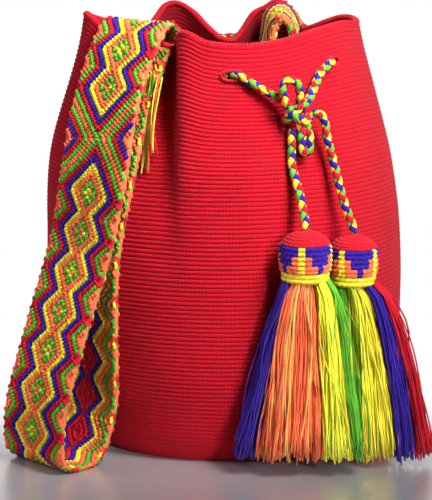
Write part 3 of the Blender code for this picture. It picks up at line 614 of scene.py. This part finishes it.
def makeBagWall(name, material, samples, columns, inset, ridge):
    # The first column is repeated at the seam, so the stitches read round to it
    grid, steps = wallGrid(samples, columns, inset, ridge)
    rows = len(steps)
    grid = np.concatenate([grid, grid[:, :1]], axis=1)
    if inset:
        share = np.repeat(np.arange(columns + 1)[None, :] / columns, rows, axis=0)
    else:
        around = np.linalg.norm(np.diff(grid, axis=1), axis=2)
        run = np.concatenate([np.zeros((rows, 1)), np.cumsum(around, axis=1)], axis=1)
        share = run / run[:, -1:]
    up = np.repeat(steps[:, None], columns + 1, axis=1)
    faces = gridFaces(rows, columns + 1, False)
    verts, faces = openEyelets(grid.reshape(-1, 3), faces[:, ::-1] if inset else faces)
    return makePiece(name, verts, faces, [material],
                     uv=np.stack([share * bag["stitches"], up], axis=-1))


def makeBagBase():
    # Two discs worked in rounds, the ground side and the inside
    parts, uvs = [], []
    columns = bag["baseColumns"]
    turn = 2 * np.pi * np.arange(columns + 1) / columns
    for ground in (True, False):
        edge = bag["baseRadius"] - (0.0 if ground else base["inside"])
        rounds = int(edge / bag["rowPitch"])
        steps = np.arange(rounds * 3 + 1) / 3.0
        radius = (base["hole"] + steps / rounds * (edge - base["hole"]))[:, None]
        lift = base["ridge"] * np.abs(np.sin(np.pi * steps)) ** 0.6
        z = base["ground"] - lift if ground else base["inside"] + lift
        if ground:
            z[-1] = base["ground"]
        grid = np.stack([radius * np.sin(turn), -radius * np.cos(turn),
                         np.repeat(z[:, None], columns + 1, axis=1)], axis=-1)
        faces = gridFaces(len(steps), columns + 1, False)
        parts.append((grid.reshape(-1, 3), (faces if ground else faces[:, ::-1]).tolist(), 0))
        u = np.repeat(np.arange(columns + 1)[None, :] * 2.0, len(steps), axis=0)
        v = np.repeat(steps[:, None], columns + 1, axis=1)
        uvs.append(np.stack([u, v], axis=-1).reshape(-1, 2))
    verts, faces, _ = joinParts(parts)
    return makePiece("bag_base_rounds", verts, faces, [outsideCrochet], uv=np.concatenate(uvs))


def makeRimEdge():
    # The last round: a plump rope of slanting stitches over the wall's top
    count = rim["steps"]
    line = wallPoint(evenAngles(count, 0.985), np.ones(count), bag["wall"] / 2.0)
    line[:, 2] -= rim["sink"]
    ahead = unit(np.roll(line, -1, axis=0) - np.roll(line, 1, axis=0))
    outward = unit(np.stack([ahead[:, 1], -ahead[:, 0], 0 * ahead[:, 0]], axis=1))
    upward = np.cross(outward, ahead)
    upward *= np.sign(upward[:, 2:3])
    around = circle(rim["sides"])
    stitch = (np.arange(count) / rim["stitchSteps"])[:, None]
    bump = 1.0 + rim["stitchBump"] * np.cos(2 * np.pi * (stitch + around / (2 * np.pi)))
    rings = ellipses(line, outward, upward, around, rim["wide"] * bump, rim["high"] * bump)
    return makePiece("bag_rim_edge", rings, hoopFaces(count, rim["sides"]), [rimCrochet])


def makeEyeletEdges():
    parts = []
    count, sides = eyelets["steps"], eyelets["sides"]
    turn, around = circle(count), circle(sides)
    up = np.array([0, 0, 1.0])
    a, b = eyelets["halfLength"], eyelets["halfHeight"]
    bump = (1.0 + eyelets["stitchBump"] * np.cos(np.arange(count) / 4.0 * 2 * np.pi))[:, None]
    for values in eyelets["places"]:
        middle, along, out = eyeletAxes(*values)
        line = middle + np.cos(turn)[:, None] * a * along + np.sin(turn)[:, None] * b * up
        # The edge follows the wall's own curve from end to end
        wallNow = np.degrees(np.arctan2(line[:, 0], -line[:, 1]))
        here = wallPoint(wallNow, line[:, 2] / bag["height"], bag["wall"] / 2.0)
        line += out * ((here - line) @ out)[:, None] * eyelets["follow"]
        normal = unit(np.cos(turn)[:, None] * b * along + np.sin(turn)[:, None] * a * up)
        rings = ellipses(line, normal, out, around, eyelets["edge"] * bump,
                         eyelets["deep"] * bump)
        parts.append((rings.reshape(-1, 3), hoopFaces(count, sides).tolist(), 0))
    verts, faces, _ = joinParts(parts)
    return makePiece("bag_eyelet_edges", verts, faces, [rimCrochet])


outsideCrochet = crochetMaterial("crimsonCrochet", yarnColours["crimson"])
# The inside wall uses a copy of the crochet at half brightness: painted shade inside the bag
shadedInsideCrochet = crochetMaterial("crimsonCrochetInsideShaded", yarnColours["crimson"], 0.5)
rimCrochet = yarnMaterial("crimsonRim", yarnColours["crimson"], light=1.2, dark=0.5, bump=0.4)
bagPieces = [makeBagWall("bag_wall_outside", outsideCrochet, bag["rowSamples"], bag["columns"],
                         0.0, bag["ridge"]),
             makeBagWall("bag_wall_inside", shadedInsideCrochet, bag["innerSamples"],
                         bag["innerColumns"], bag["wall"] - 0.0008, bag["ridge"] * 0.8),
             makeBagBase(), makeRimEdge(), makeEyeletEdges()]
for piece in bagPieces:
    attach(piece, "bag")
    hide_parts("bag_body")
print("body ready")

# The woven strap

strap = {"width": 0.064, "thickness": 0.004, "core": 0.0027, "stripe": 0.0052, "pitch": 0.0280,
         "peak": 0.0092, "waist": -0.0026, "crossing": 0.5545, "crossingDip": -0.0234,
         "firstAbove": 0.5904, "firstBelow": 0.5163, "knotStep": 0.0020, "knotAlong": 0.00148,
         "knotAcross": 0.00222, "knotHeight": 0.00150, "knotSlant": 14.0, "redPeak": 0.0036,
         "knotSides": (7, 5), "edgeGap": 0.0009, "innerGap": 0.0012, "endGap": 0.0008,
         "middleGap": 0.0011, "peakRoom": (0.0042, 0.0046), "knotLean": 0.06, "knotSpread": 0.04,
         "bandStep": 0.0016, "bandColumns": 25, "bandGap": 0.0008}
# Stations along the strap: centre, then the direction across it
strapStations = [
    (-0.0609, -0.0669, 0.289, 0.7604, -0.6494, 0), (-0.0689, -0.0706, 0.262, 0.7314, -0.682, 0),
    (-0.0767, -0.0769, 0.235, 0.7193, -0.6947, 0), (-0.0845, -0.0856, 0.2, 0.7193, -0.6947, 0),
    (-0.0946, -0.0911, 0.145, 0.6972, -0.7169, 0), (-0.0963, -0.091, 0.094, 0.6884, -0.7254, 0),
    (-0.0964, -0.0882, 0.045, 0.6756, -0.7373, 0), (-0.102, -0.0937, 0.018, 0.6769, -0.7361, 0),
    (-0.1082, -0.1009, 0.0052, 0.682, -0.7314, 0), (-0.1174, -0.1102, 0.0022, 0.6845, -0.729, 0),
    (-0.1261, -0.1192, 0.0032, 0.6871, -0.7266, 0), (-0.1313, -0.1246, 0.01, 0.6884, -0.7254, 0),
    (-0.132, -0.1256, 0.021, 0.6896, -0.7242, 0), (-0.1294, -0.1231, 0.047, 0.6896, -0.7242, 0),
    (-0.1150, -0.111, 0.1, 0.6896, -0.7242, 0), (-0.1002, -0.1011, 0.15, 0.7022, -0.712, 0),
    (-0.0903, -0.0987, 0.2, 0.7314, -0.682, 0), (-0.0849, -0.0907, 0.235, 0.7254, -0.6884, 0),
    (-0.0783, -0.081, 0.262, 0.7169, -0.6972, 0), (-0.0705, -0.0736, 0.284, 0.7254, -0.6884, 0),
    (-0.0616, -0.0621, 0.2998, 0.7218, -0.6921, 0), (-0.0535, -0.05, 0.2935, 0.7317, -0.6816, 0),
    (-0.04, -0.034, 0.267, 0.7507, -0.6606, 0), (-0.024, -0.014, 0.233, 0.7828, -0.6222, 0),
    (-0.002, 0.012, 0.204, 0.722, -0.6919, 0), (0.019, 0.034, 0.225, 0.4592, -0.8884, 0),
    (0.029, 0.0425, 0.256, 0.1998, -0.979, -0.04),
    (0.0319, 0.044, 0.278, 0.0901, -0.9909, -0.1001),
    (0.0345, 0.044, 0.294, 0.0701, -0.9914, -0.1102),
    (0.0425, 0.0435, 0.3005, 0, -0.9939, -0.1104),
    (0.05, 0.0415, 0.293, -0.0999, -0.9889, -0.1099),
    (0.0528, 0.0385, 0.28, -0.0804, -0.9949, -0.0603), (0.0558, 0.035, 0.256, -0.02, -0.9998, 0)]


def strapTable():  # distance, centre, direction along, direction across
    rows = np.array(strapStations, float)
    fineCentre = spline(rows[:, :3], 20)
    fineEdge = spline(rows[:, :3] + unit(rows[:, 3:]) * strap["width"] / 2, 20)
    run = runAlong(fineCentre)
    goals = np.arange(0, run[-1], 0.001)
    centre = readAt(goals, run, fineCentre)
    across = readAt(goals, run, fineEdge - fineCentre)
    along = unit(np.gradient(centre, axis=0))
    across = unit(across - along * (across * along).sum(axis=1)[:, None])
    return goals, centre, along, across


strapRun, strapCentre, strapAlong, strapAcross = strapTable()
strapLength = strapRun[-1]


def onStrap(s, t, lift):  # place on the strap, and its directions along, across and out
    centre, along, across = (readAt(s, strapRun, table)
                             for table in (strapCentre, strapAlong, strapAcross))
    along, across = unit(along), unit(across)
    out = np.cross(along, across)
    place = centre + across * np.asarray(t)[..., None] + out * np.asarray(lift)[..., None]
    return place, along, across, out


def zigzag():  # corners of the pattern's zigzag: distance, and how far it swings
    corners = [(strap["crossing"], strap["crossingDip"])]
    for place, way in ((strap["firstBelow"], -1), (strap["firstAbove"], 1)):
        while -0.03 < place < strapLength + 0.03:
            corners += [(place, strap["peak"]),
                        (place + way * strap["pitch"] / 2, strap["waist"])]
            place += way * strap["pitch"]
    return sorted(corners)


stripeYarns = ["coral", "sunYellow", "violetBlue", "wineRed", "leafGreen"]
crossingYarns = {5: 0, 6: 4, 7: 3, 8: 2}
# The middle of each diamond: three knots of one yarn and one of another, in turn
middleKnots = [(-0.0026, 0.0, 0), (0.0026, 0.0, 0), (0.0, 0.0029, 1), (0.0, -0.0029, 0)]
# On the inner face the half diamonds lie along the edges; yarns from the edge inwards
innerFace = {"yarns": [1, 0, 4, 0, 1, 2, 3, 3], "firstPeak": 0.0150}


def stripeYarn(stripe, fromPeak, inCrossing):
    # Yarn of a stripe, counted outwards from the zigzag; the widest places are red to the edge
    if stripe < 0:
        return 4
    if inCrossing:
        return stripe if stripe < 5 else crossingYarns.get(stripe, 0)
    if stripe >= 3 and fromPeak < strap["redPeak"]:
        return 3
    return stripe if stripe < 5 else 0


def addKnots(found, s, t, slope, yarn, half):
    # A knot and its mirror image, or a single one where the row meets the middle line
    if not strap["endGap"] <= s <= strapLength - strap["endGap"] or not -0.0006 <= t <= half:
        return
    if t < strap["middleGap"]:
        found.append((s, 0.0, 0.0, yarn))
    else:
        found += [(s, t, slope, yarn), (s, -t, -slope, yarn)]


def knotPlaces():  # every knot of one face: distance, place across, slope of its row, yarn
    found = []
    corners = zigzag()
    half = strap["width"] / 2 - strap["edgeGap"]
    peakLong, peakWide = strap["peakRoom"]
    for (a, swingA), (b, swingB) in zip(corners[:-1], corners[1:]):
        inCrossing = strap["crossing"] in (a, b)
        count = max(2, int(round((b - a) / strap["knotStep"])))
        slope = (swingB - swingA) / (b - a)
        peak = a if swingA > swingB else b
        for stripe in range(-1, 11 if inCrossing else 7):
            for k in range(count):
                s = a + (k + 0.5) * (b - a) / count
                t = (stripe + 0.5) * strap["stripe"] + swingA + slope * (s - a)
                fromPeak = abs(s - peak)
                if stripe >= 0 or fromPeak >= peakLong or t >= peakWide:
                    yarn = stripeYarn(stripe, fromPeak, inCrossing)
                    addKnots(found, s, t, slope, yarn, half)
    for number, (place, swing) in enumerate(corners):
        if swing >= strap["peak"] and 0.004 <= place <= strapLength - 0.004:
            found += [(place + away, beside, 0.0, (number // 2 + other) % 2)
                      for away, beside, other in middleKnots]
    return np.array(found)


def innerKnotPlaces():  # the same for the inner face, whose half diamonds lie along its edges
    found = []
    half = strap["width"] / 2 - strap["innerGap"]
    step = strap["pitch"] / 2
    count = max(2, int(round(step / strap["knotStep"])))
    swings = [strap["peak"], strap["waist"]]
    for number in range(int(strapLength / step) + 2):
        a = innerFace["firstPeak"] + (number - 1) * step
        swingA, swingB = swings if number % 2 else swings[::-1]
        slope = (swingB - swingA) / step
        for stripe in range(-2, 7):
            yarn = innerFace["yarns"][min(stripe + 2, 7)]
            for k in range(count):
                s = a + (k + 0.5) * step / count
                t = half - ((stripe + 0.5) * strap["stripe"] + swingA + slope * (s - a))
                addKnots(found, s, t, -slope, yarn, half)
    return np.array(found)


def strapKnots(name, side):
    # Each knot is a low slanting bead that lies across its row
    places = knotPlaces() if side < 0 else innerKnotPlaces()
    s, t, slope = places[:, 0], places[:, 1], places[:, 2]
    centre, along, across, out = onStrap(s, t, np.full(len(s), side * strap["core"] / 2))
    slant = np.arctan(slope) + np.radians(strap["knotSlant"]) * np.sign(slope)
    slant += rng.normal(0, strap["knotLean"], len(s))
    row = along * np.cos(slant)[:, None] + across * np.sin(slant)[:, None]
    beside = np.cross(out, row)
    n = strap["knotSides"][0 if side < 0 else 1]
    size = 1.0 + rng.normal(0, strap["knotSpread"], len(s))
    edgeRoom = np.clip((strap["width"] / 2 + 0.0006 - np.abs(t)) / strap["knotAcross"], 0.45, 1.0)
    verts = []
    for reach, lift in ((1.0, -0.10), (0.86, 0.55), (0.45, 0.92)):
        for turn in circle(n):
            longer = np.cos(turn) * reach * strap["knotAlong"] * size
            wider = np.sin(turn) * reach * strap["knotAcross"] * size * edgeRoom
            verts.append(centre + row * longer[:, None] + beside * wider[:, None]
                         + out * side * (lift * strap["knotHeight"] * size)[:, None])
    verts.append(centre + out * side * (strap["knotHeight"] * size)[:, None])
    verts = np.stack(verts, axis=1)
    pattern = gridFaces(3, n, True).tolist()
    pattern += [[2 * n + k, 2 * n + (k + 1) % n, 3 * n] for k in range(n)]
    if side < 0:
        pattern = [face[::-1] for face in pattern]
    return makePiece(name, verts, repeatFaces(pattern, len(s), verts.shape[1]),
                     [yarns[y] for y in stripeYarns],
                     np.repeat(places[:, 3].astype(int), len(pattern)))


def strapCore():
    # The band between the knots, in the colours of its stripes, and its bound edges
    s = np.arange(0, strapLength, strap["bandStep"])
    t = np.linspace(-1, 1, strap["bandColumns"]) * (strap["width"] / 2 - strap["bandGap"])
    count, wide = len(s), len(t)
    corners = np.array(zigzag())
    swing = np.interp(s, corners[:, 0], corners[:, 1])
    place = (s[:-1] + s[1:])[:, None] / 2
    beside = (np.abs(t[:-1] + t[1:]) / 2)[None, :]
    # Outer face: stripes counted from the zigzag, with the widest places red
    stripe = np.floor((beside - (swing[:-1] + swing[1:])[:, None] / 2)
                      / strap["stripe"]).astype(int)
    outer = np.where(stripe < 0, 4, np.where(stripe > 4, 0, np.clip(stripe, 0, 4)))
    peaks = corners[corners[:, 1] >= strap["peak"], 0]
    fromPeak = np.abs(place - peaks[None, :]).min(axis=1)[:, None]
    outer = np.where((stripe >= 3) & (fromPeak < strap["redPeak"]), 3, outer)
    # Inner face: stripes counted from the edges
    phase = np.abs(((place - innerFace["firstPeak"]) / strap["pitch"]) % 1.0 - 0.5) * 2
    innerSwing = strap["waist"] + (strap["peak"] - strap["waist"]) * phase
    order = np.floor(((strap["width"] / 2 - beside) - innerSwing) / strap["stripe"]).astype(int)
    inner = np.array(innerFace["yarns"])[np.clip(order + 2, 0, 7)]
    along, across = np.repeat(s[:, None], wide, axis=1), np.repeat(t[None, :], count, axis=0)
    verts = [onStrap(along, across, np.full((count, wide), side * (strap["core"] / 2 - 0.0001)))[0]
             for side in (1, -1)]
    below = count * wide
    top = gridFaces(count, wide, False)
    faces = np.concatenate([top, (top + below)[:, ::-1]]).tolist()
    colours = np.concatenate([inner.ravel(), outer.ravel()]).tolist()

    def closeEdge(a, b, flip, colour):
        quad = [a, b, b + below, a + below]
        faces.append(quad[::-1] if flip else quad)
        colours.append(colour)

    for r in range(count - 1):
        closeEdge(r * wide, (r + 1) * wide, False, int(outer[r, 0]))
        closeEdge(r * wide + wide - 1, (r + 1) * wide + wide - 1, True, int(outer[r, -1]))
    for start, flip in ((0, True), (below - wide, False)):
        for c in range(start, start + wide - 1):
            closeEdge(c, c + 1, flip, 0)
    return makePiece("strap_band", verts, faces, [yarns[y] for y in stripeYarns], colours)


def threadTubes(lines, radius, sides=4, helper=(0.0, 1.0, 0.0)):
    # Many thin threads at once: lines is (count, rings, 3)
    count, rings, _ = lines.shape
    tangent = unit(np.gradient(lines, axis=1))
    side = unit(np.cross(tangent, np.array(helper)))
    other = np.cross(tangent, side)
    radius = np.broadcast_to(np.asarray(radius, float), (count,))[:, None, None]
    verts = ellipses(lines, side, other, circle(sides), radius, radius)
    one = tubeFaces(rings, sides)
    return verts.reshape(-1, 3), repeatFaces(one, count, rings * sides), len(one)


lashing = {"from": 0.008, "length": 0.013, "rows": 3, "stitches": 15, "thread": 0.0007,
           "reach": 0.92, "lift": 0.0009, "rise": 0.0007, "dip": 0.0012, "lean": (1.5, 0.9)}
fringe = {"outer": 18, "inner": 34, "thread": 0.00055, "length": 0.060, "longest": 0.070,
          "from": 0.020, "fall": (0.0055, 0.0085), "offWall": 0.0016, "outerBend": 0.0022,
          "innerBend": 0.0018, "sides": 5,
          "yarns": ["leafGreen", "coral", "sunYellow", "wineRed"]}


def makeLashing(name, start, replaced):
    # Rows of slanting stitches that hold the strap's end to the wall
    lines, colours = [], []
    half = strap["width"] / 2 * lashing["reach"]
    u = np.linspace(0, 1, 7)
    rise = (strap["thickness"] / 2 + lashing["lift"] + lashing["rise"] * np.sin(np.pi * u)
            - lashing["dip"] * (np.abs(2 * u - 1) ** 4))
    for row in range(lashing["rows"]):
        low = start + lashing["length"] * row / lashing["rows"]
        high = low + lashing["length"] / lashing["rows"]
        for k in range(lashing["stitches"]):
            t0 = -half + 2 * half * k / lashing["stitches"]
            t1 = t0 + 2 * half / lashing["stitches"] * lashing["lean"][row % 2]
            lines.append(onStrap(low + (high - low) * u, t0 + (min(t1, half) - t0) * u, rise)[0])
            colours.append(0 if (k + row) % 5 else 1)
    helper = onStrap(start, 0.0, 0.0)[3]
    verts, faces, each = threadTubes(np.array(lines), lashing["thread"], 6, helper)
    piece = makePiece(name, verts, faces, [yarns["coral"], yarns["sunYellow"]],
                      np.repeat(colours, each))
    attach(piece, "bag")
    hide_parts(replaced)


def fringePiece(name, lines, colours, helper=(0.0, 1.0, 0.0)):
    verts, faces, each = threadTubes(np.array(lines), fringe["thread"], fringe["sides"], helper)
    return makePiece(name, verts, faces, [yarns[y] for y in fringe["yarns"]],
                     np.repeat(colours, each))


def makeFringes():
    u = np.linspace(0, 1, 14)
    half = strap["width"] / 2

    def wander(spread):  # a slow bend that grows from the stitches down
        return rng.normal(0, spread) * np.sin(np.pi * u * rng.uniform(0.8, 2.0)) * u

    lines, colours = [], []
    for k in range(fringe["outer"]):
        # These hang straight down from the stitched end, and rest on the wall where they meet it
        t = half * (0.50 + 0.62 * k / (fringe["outer"] - 1)) + rng.normal(0, 0.0008)
        reach = fringe["longest"] * rng.uniform(0.62, 1.0)
        start, _, _, out = onStrap(fringe["from"], t, strap["thickness"] / 2 + fringe["offWall"])
        line = start + np.stack([wander(fringe["outerBend"]) - fringe["fall"][0] * u,
                                 -fringe["fall"][1] * u, -reach * u], axis=1)
        line += out * (0.0025 * rng.random() * np.sin(np.pi * u))[:, None]
        lean = -bag["lean"] * (line[:, 2] / bag["height"]) ** 2
        angle = np.degrees(np.arctan2(line[:, 0] - lean, -line[:, 1]))
        away = np.hypot(line[:, 0] - lean, line[:, 1])
        least = wallRadius(angle, line[:, 2] / bag["height"]) + fringe["offWall"]
        push = np.maximum(1.0, least / away)
        line[:, 0] = lean + (line[:, 0] - lean) * push
        line[:, 1] *= push
        lines.append(line)
        colours.append(int(rng.integers(0, 4)))
    front = fringePiece("strap_fringe_threads_outer_end", lines, colours)
    lines, colours = [], []
    foot, _, across, out = onStrap(strapLength - 0.0005, 0.0, 0.0)
    for k in range(fringe["inner"]):
        t = half * 0.88 * (2 * k / (fringe["inner"] - 1) - 1) + rng.normal(0, 0.0005)
        reach = fringe["length"] * rng.uniform(0.8, 1.0)
        lines.append(foot + across * (t + wander(fringe["innerBend"]))[:, None]
                     + out * rng.normal(0, 0.0005)
                     - np.array([0, 0, 1.0]) * (reach * u - 0.004)[:, None])
        colours.append(int(rng.integers(0, 4)))
    rear = fringePiece("strap_fringe_threads_inner_end", lines, colours, out)
    for piece, replaced in ((front, "strap_fringe_front"), (rear, "strap_fringe_rear")):
        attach(piece, "bag")
        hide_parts(replaced)


for piece in (strapCore(), strapKnots("strap_knots_face", -1), strapKnots("strap_knots_back", 1)):
    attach(piece, "bag")
    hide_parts("shoulder_strap")
makeLashing("strap_stitches_outer_end", lashing["from"], "strap_lashing_front")
makeLashing("strap_stitches_inner_end", strapLength - lashing["from"] - lashing["length"],
            "strap_lashing_rear")
makeFringes()
print("strap ready")

# The tassels

tassel = {"capHeight": 0.0348, "skirt": 0.1180, "flare": 0.55, "thread": 0.00052,
          "repeats": 4, "stitches": 24, "ringsPerStitch": 6, "columnsPerStitch": 7,
          "stitchLift": 0.0017, "straighter": {("left", "blue"): 0.35, ("left", "orange"): -0.08},
          "slimRows": 0.7, "slant": 0.55, "valley": {"rim": 0.70, "wall": 0.92}, "lip": 0.55,
          "stray": (0.0042, 0.0019), "strayShare": 0.20, "quick": 0.00035, "tuck": 0.003,
          "hemSpread": 0.028, "longest": 1.05, "core": 0.86, "coreSides": 14}
capOutline = [(0.0, 0.14), (0.012, 0.24), (0.03, 0.36), (0.07, 0.55), (0.12, 0.71), (0.18, 0.85),
              (0.25, 0.955), (0.35, 0.99), (0.50, 1.0), (0.68, 0.985), (0.76, 0.955),
              (0.82, 0.90), (0.86, 0.89), (0.93, 0.90), (1.0, 0.84)]
# Rows of the cap from its top: share of the height where each one starts, and its colours.
# A row of the pattern says, from the middle of a repeat outwards, what its stitches are
capRows = [(0.0, "red"), (0.02, "red"), (0.055, "red"), (0.10, "red"), (0.15, "red"),
           (0.205, "red"), (0.26, "y..."), (0.352, "y..."), (0.444, "yo.."), (0.536, "yo.."),
           (0.628, "yoo."), (0.72, "yoo."), (0.80, "rim"), (0.895, "rim")]
capPieces = {"left": {"top": (0.0535, -0.1375, 0.1687), "radius": 0.0175, "turn": -18.0},
             "right": {"top": (0.0868, -0.1194, 0.1628), "radius": 0.0168, "turn": -39.0}}
# Hanks: yarns, threads, then place and half-size at the neck and at the hem
leftHanks = [
    ("blue", ["violetBlue"], 110, (-0.0112, -0.0005, 0.0030, 0.0085),
     (-0.0398, -0.0010, 0.0068, 0.0100)),
    ("orange", ["coral"] * 6 + ["peach"] * 2, 330, (-0.0021, -0.0010, 0.0058, 0.0125),
     (-0.0100, -0.0050, 0.0225, 0.0115)),
    ("yellow", ["lemon"] * 5 + ["sunYellow"], 190, (0.0080, -0.0005, 0.0040, 0.0105),
     (0.0231, -0.0045, 0.0102, 0.0105)),
    ("green", ["leafGreen"], 80, (0.0138, -0.0005, 0.0014, 0.0060),
     (0.0367, -0.0040, 0.0029, 0.0080))]
rightHanks = [
    ("green", ["leafGreen"], 110, (-0.0098, -0.0010, 0.0036, 0.0070),
     (-0.0010, 0.0000, 0.0055, 0.0075)),
    ("yellow", ["sunYellow"] * 5 + ["lemon"], 220, (-0.0010, -0.0030, 0.0048, 0.0095),
     (0.0173, -0.0030, 0.0126, 0.0085)),
    ("blue", ["violetBlue"], 120, (0.0072, -0.0025, 0.0030, 0.0080),
     (0.0370, -0.0015, 0.0066, 0.0080)),
    ("red", ["wineRed", "crimson"], 110, (0.0125, -0.0015, 0.0020, 0.0060),
     (0.0497, 0.0000, 0.0056, 0.0075)),
    ("orange", ["coral"], 90, (0.0, 0.0102, 0.0085, 0.0030), (0.0230, 0.0125, 0.0170, 0.0042))]
capYarns = ["crimson", "violetBlue", "sunYellow", "coral"]
capColours = {"red": 0, "rim": 2, ".": 1, "y": 2, "o": 3}


def makeCap(sideName):
    # Rows of plump stitches round a dome; each stitch has one colour
    cap = capPieces[sideName]
    top = np.array(cap["top"])
    starts = [row[0] for row in capRows] + [1.0]
    perRow, perStitch = tassel["ringsPerStitch"], tassel["columnsPerStitch"]
    columns = tassel["stitches"] * perStitch
    turn = circle(columns) + math.radians(cap["turn"])
    rings, colours = [], []
    for number, (start, kind) in enumerate(capRows):
        across = np.arange(columns) / perStitch + (0.5 if number % 2 else 0.0)
        slim = tassel["slimRows"] if kind == "red" else 1.0
        wavy = tassel["valley"]["rim" if kind == "rim" else "wall"]
        for k in range(perRow + (1 if number == len(capRows) - 1 else 0)):
            phase = k / perRow
            drop = start + (starts[number + 1] - start) * phase
            swell = np.abs(np.sin(np.pi * (across + tassel["slant"] * phase)))
            bump = abs(math.sin(math.pi * phase)) ** 0.7 * (1 - wavy + wavy * swell)
            radius = (cap["radius"] * float(curveThrough(capOutline, drop))
                      + tassel["stitchLift"] * slim * (bump - 0.45))
            rings.append(np.stack([radius * np.sin(turn), -radius * np.cos(turn),
                                   np.full(columns, -tassel["capHeight"] * drop)], axis=1) + top)
    perRepeat = tassel["stitches"] // tassel["repeats"]
    for ring in range(len(rings) - 1):
        kind = capRows[min(ring // perRow, len(capRows) - 1)][1]
        for column in range(columns):
            stitch = (column // perStitch) % perRepeat
            beside = min(stitch, perRepeat - stitch, 3)
            colours.append(capColours[kind if kind in capColours else kind[beside]])
    # The crown closes over the top, and a lip turns in under the last row
    rings = np.array(rings)
    centre = rings[-1].mean(axis=0)
    lip = centre + (rings[-1] - centre) * tassel["lip"] + np.array([0, 0, 0.002])
    crown = len(rings) * columns
    last = crown - columns
    verts = np.concatenate([rings.reshape(-1, 3), [top + np.array([0, 0, 0.0002])], lip])
    faces = gridFaces(len(rings), columns, True)[:, ::-1].tolist()
    faces += [[crown, k, (k + 1) % columns] for k in range(columns)]
    faces += [[last + (k + 1) % columns, last + k, crown + 1 + k, crown + 1 + (k + 1) % columns]
              for k in range(columns)]
    faces.append([crown + 1 + k for k in range(columns)])
    colours += [0] * columns + [2] * (columns + 1)
    piece = makePiece("tassel_%s_cap_crochet" % sideName, verts, faces,
                      [yarns[y] for y in capYarns], colours)
    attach(piece, "tassel_" + sideName)
    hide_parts("tassel_%s_cap" % sideName)
    return piece


def makeHank(sideName, word, yarnNames, count, neck, hem):
    # Threads that fan out from under the cap, round a slim core that closes the gaps
    top = np.array(capPieces[sideName]["top"])
    down = np.linspace(0.0, 1.0, 13)
    spread = down ** (tassel["flare"] + tassel["straighter"].get((sideName, word), 0.0))
    x, y, wide, deep = (neck[k] + (hem[k] - neck[k]) * spread for k in range(4))
    cap, skirt, tuck = tassel["capHeight"], tassel["skirt"], tassel["tuck"]

    def wave(size, slowest, quickest):
        return rng.normal(0, size) * np.sin(np.pi * down * rng.uniform(slowest, quickest)
                                            + rng.uniform(0, 3))

    lines = []
    for k in range(count):
        turn = rng.uniform(0, 2 * np.pi)
        out = rng.random() ** 0.30 * 1.05
        reach = min(tassel["longest"], rng.normal(1.0, tassel["hemSpread"]))
        # A slow bend, a smaller quick one, and a few threads that stray further across
        stray = tassel["stray"][0 if rng.random() < tassel["strayShare"] else 1]
        aside, ahead = ((wave(stray, 0.5, 1.5) + wave(tassel["quick"], 3, 6))
                        * smoothStep(down * 2.5) for axis in range(2))
        lines.append(top + np.stack([x + wide * out * np.cos(turn) + aside,
                                     y + deep * out * np.sin(turn) + ahead * 0.6,
                                     -cap + tuck - (skirt + tuck) * down * reach], axis=1))
    thickness = tassel["thread"] * rng.uniform(0.8, 1.25, count)
    verts, faces, each = threadTubes(np.array(lines), thickness, 4)
    names = sorted(set(yarnNames), key=yarnNames.index)
    picked = [names.index(yarnNames[i]) for i in rng.integers(0, len(yarnNames), count)]
    colours = np.repeat(picked, each).tolist()
    around = circle(tassel["coreSides"])[::-1]
    line = top + np.stack([x, y, -cap + 0.001 - skirt * 0.94 * down], axis=1)
    rings = ellipses(line, np.array([1.0, 0, 0]), np.array([0, 1.0, 0]), around,
                     (wide * tassel["core"])[:, None], (deep * tassel["core"])[:, None])
    coreFaces = tubeFaces(*rings.shape[:2])
    faces += [[i + len(verts) for i in face] for face in coreFaces]
    colours += [0] * len(coreFaces)
    piece = makePiece("tassel_%s_skirt_%s" % (sideName, word),
                      np.concatenate([verts, rings.reshape(-1, 3)]), faces,
                      [yarns[name] for name in names], colours)
    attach(piece, "tassel_" + sideName)
    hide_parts("tassel_%s_threads_%s" % (sideName, word))


for sideName, hanks in (("left", leftHanks), ("right", rightHanks)):
    makeCap(sideName)
    for word, yarnNames, count, neck, hem in hanks:
        makeHank(sideName, word, yarnNames, count, neck, hem)
print("tassels ready")

# Declarations, sizes and the end

for sideName in ("left", "right"):
    tail, tailPath = tails[sideName]
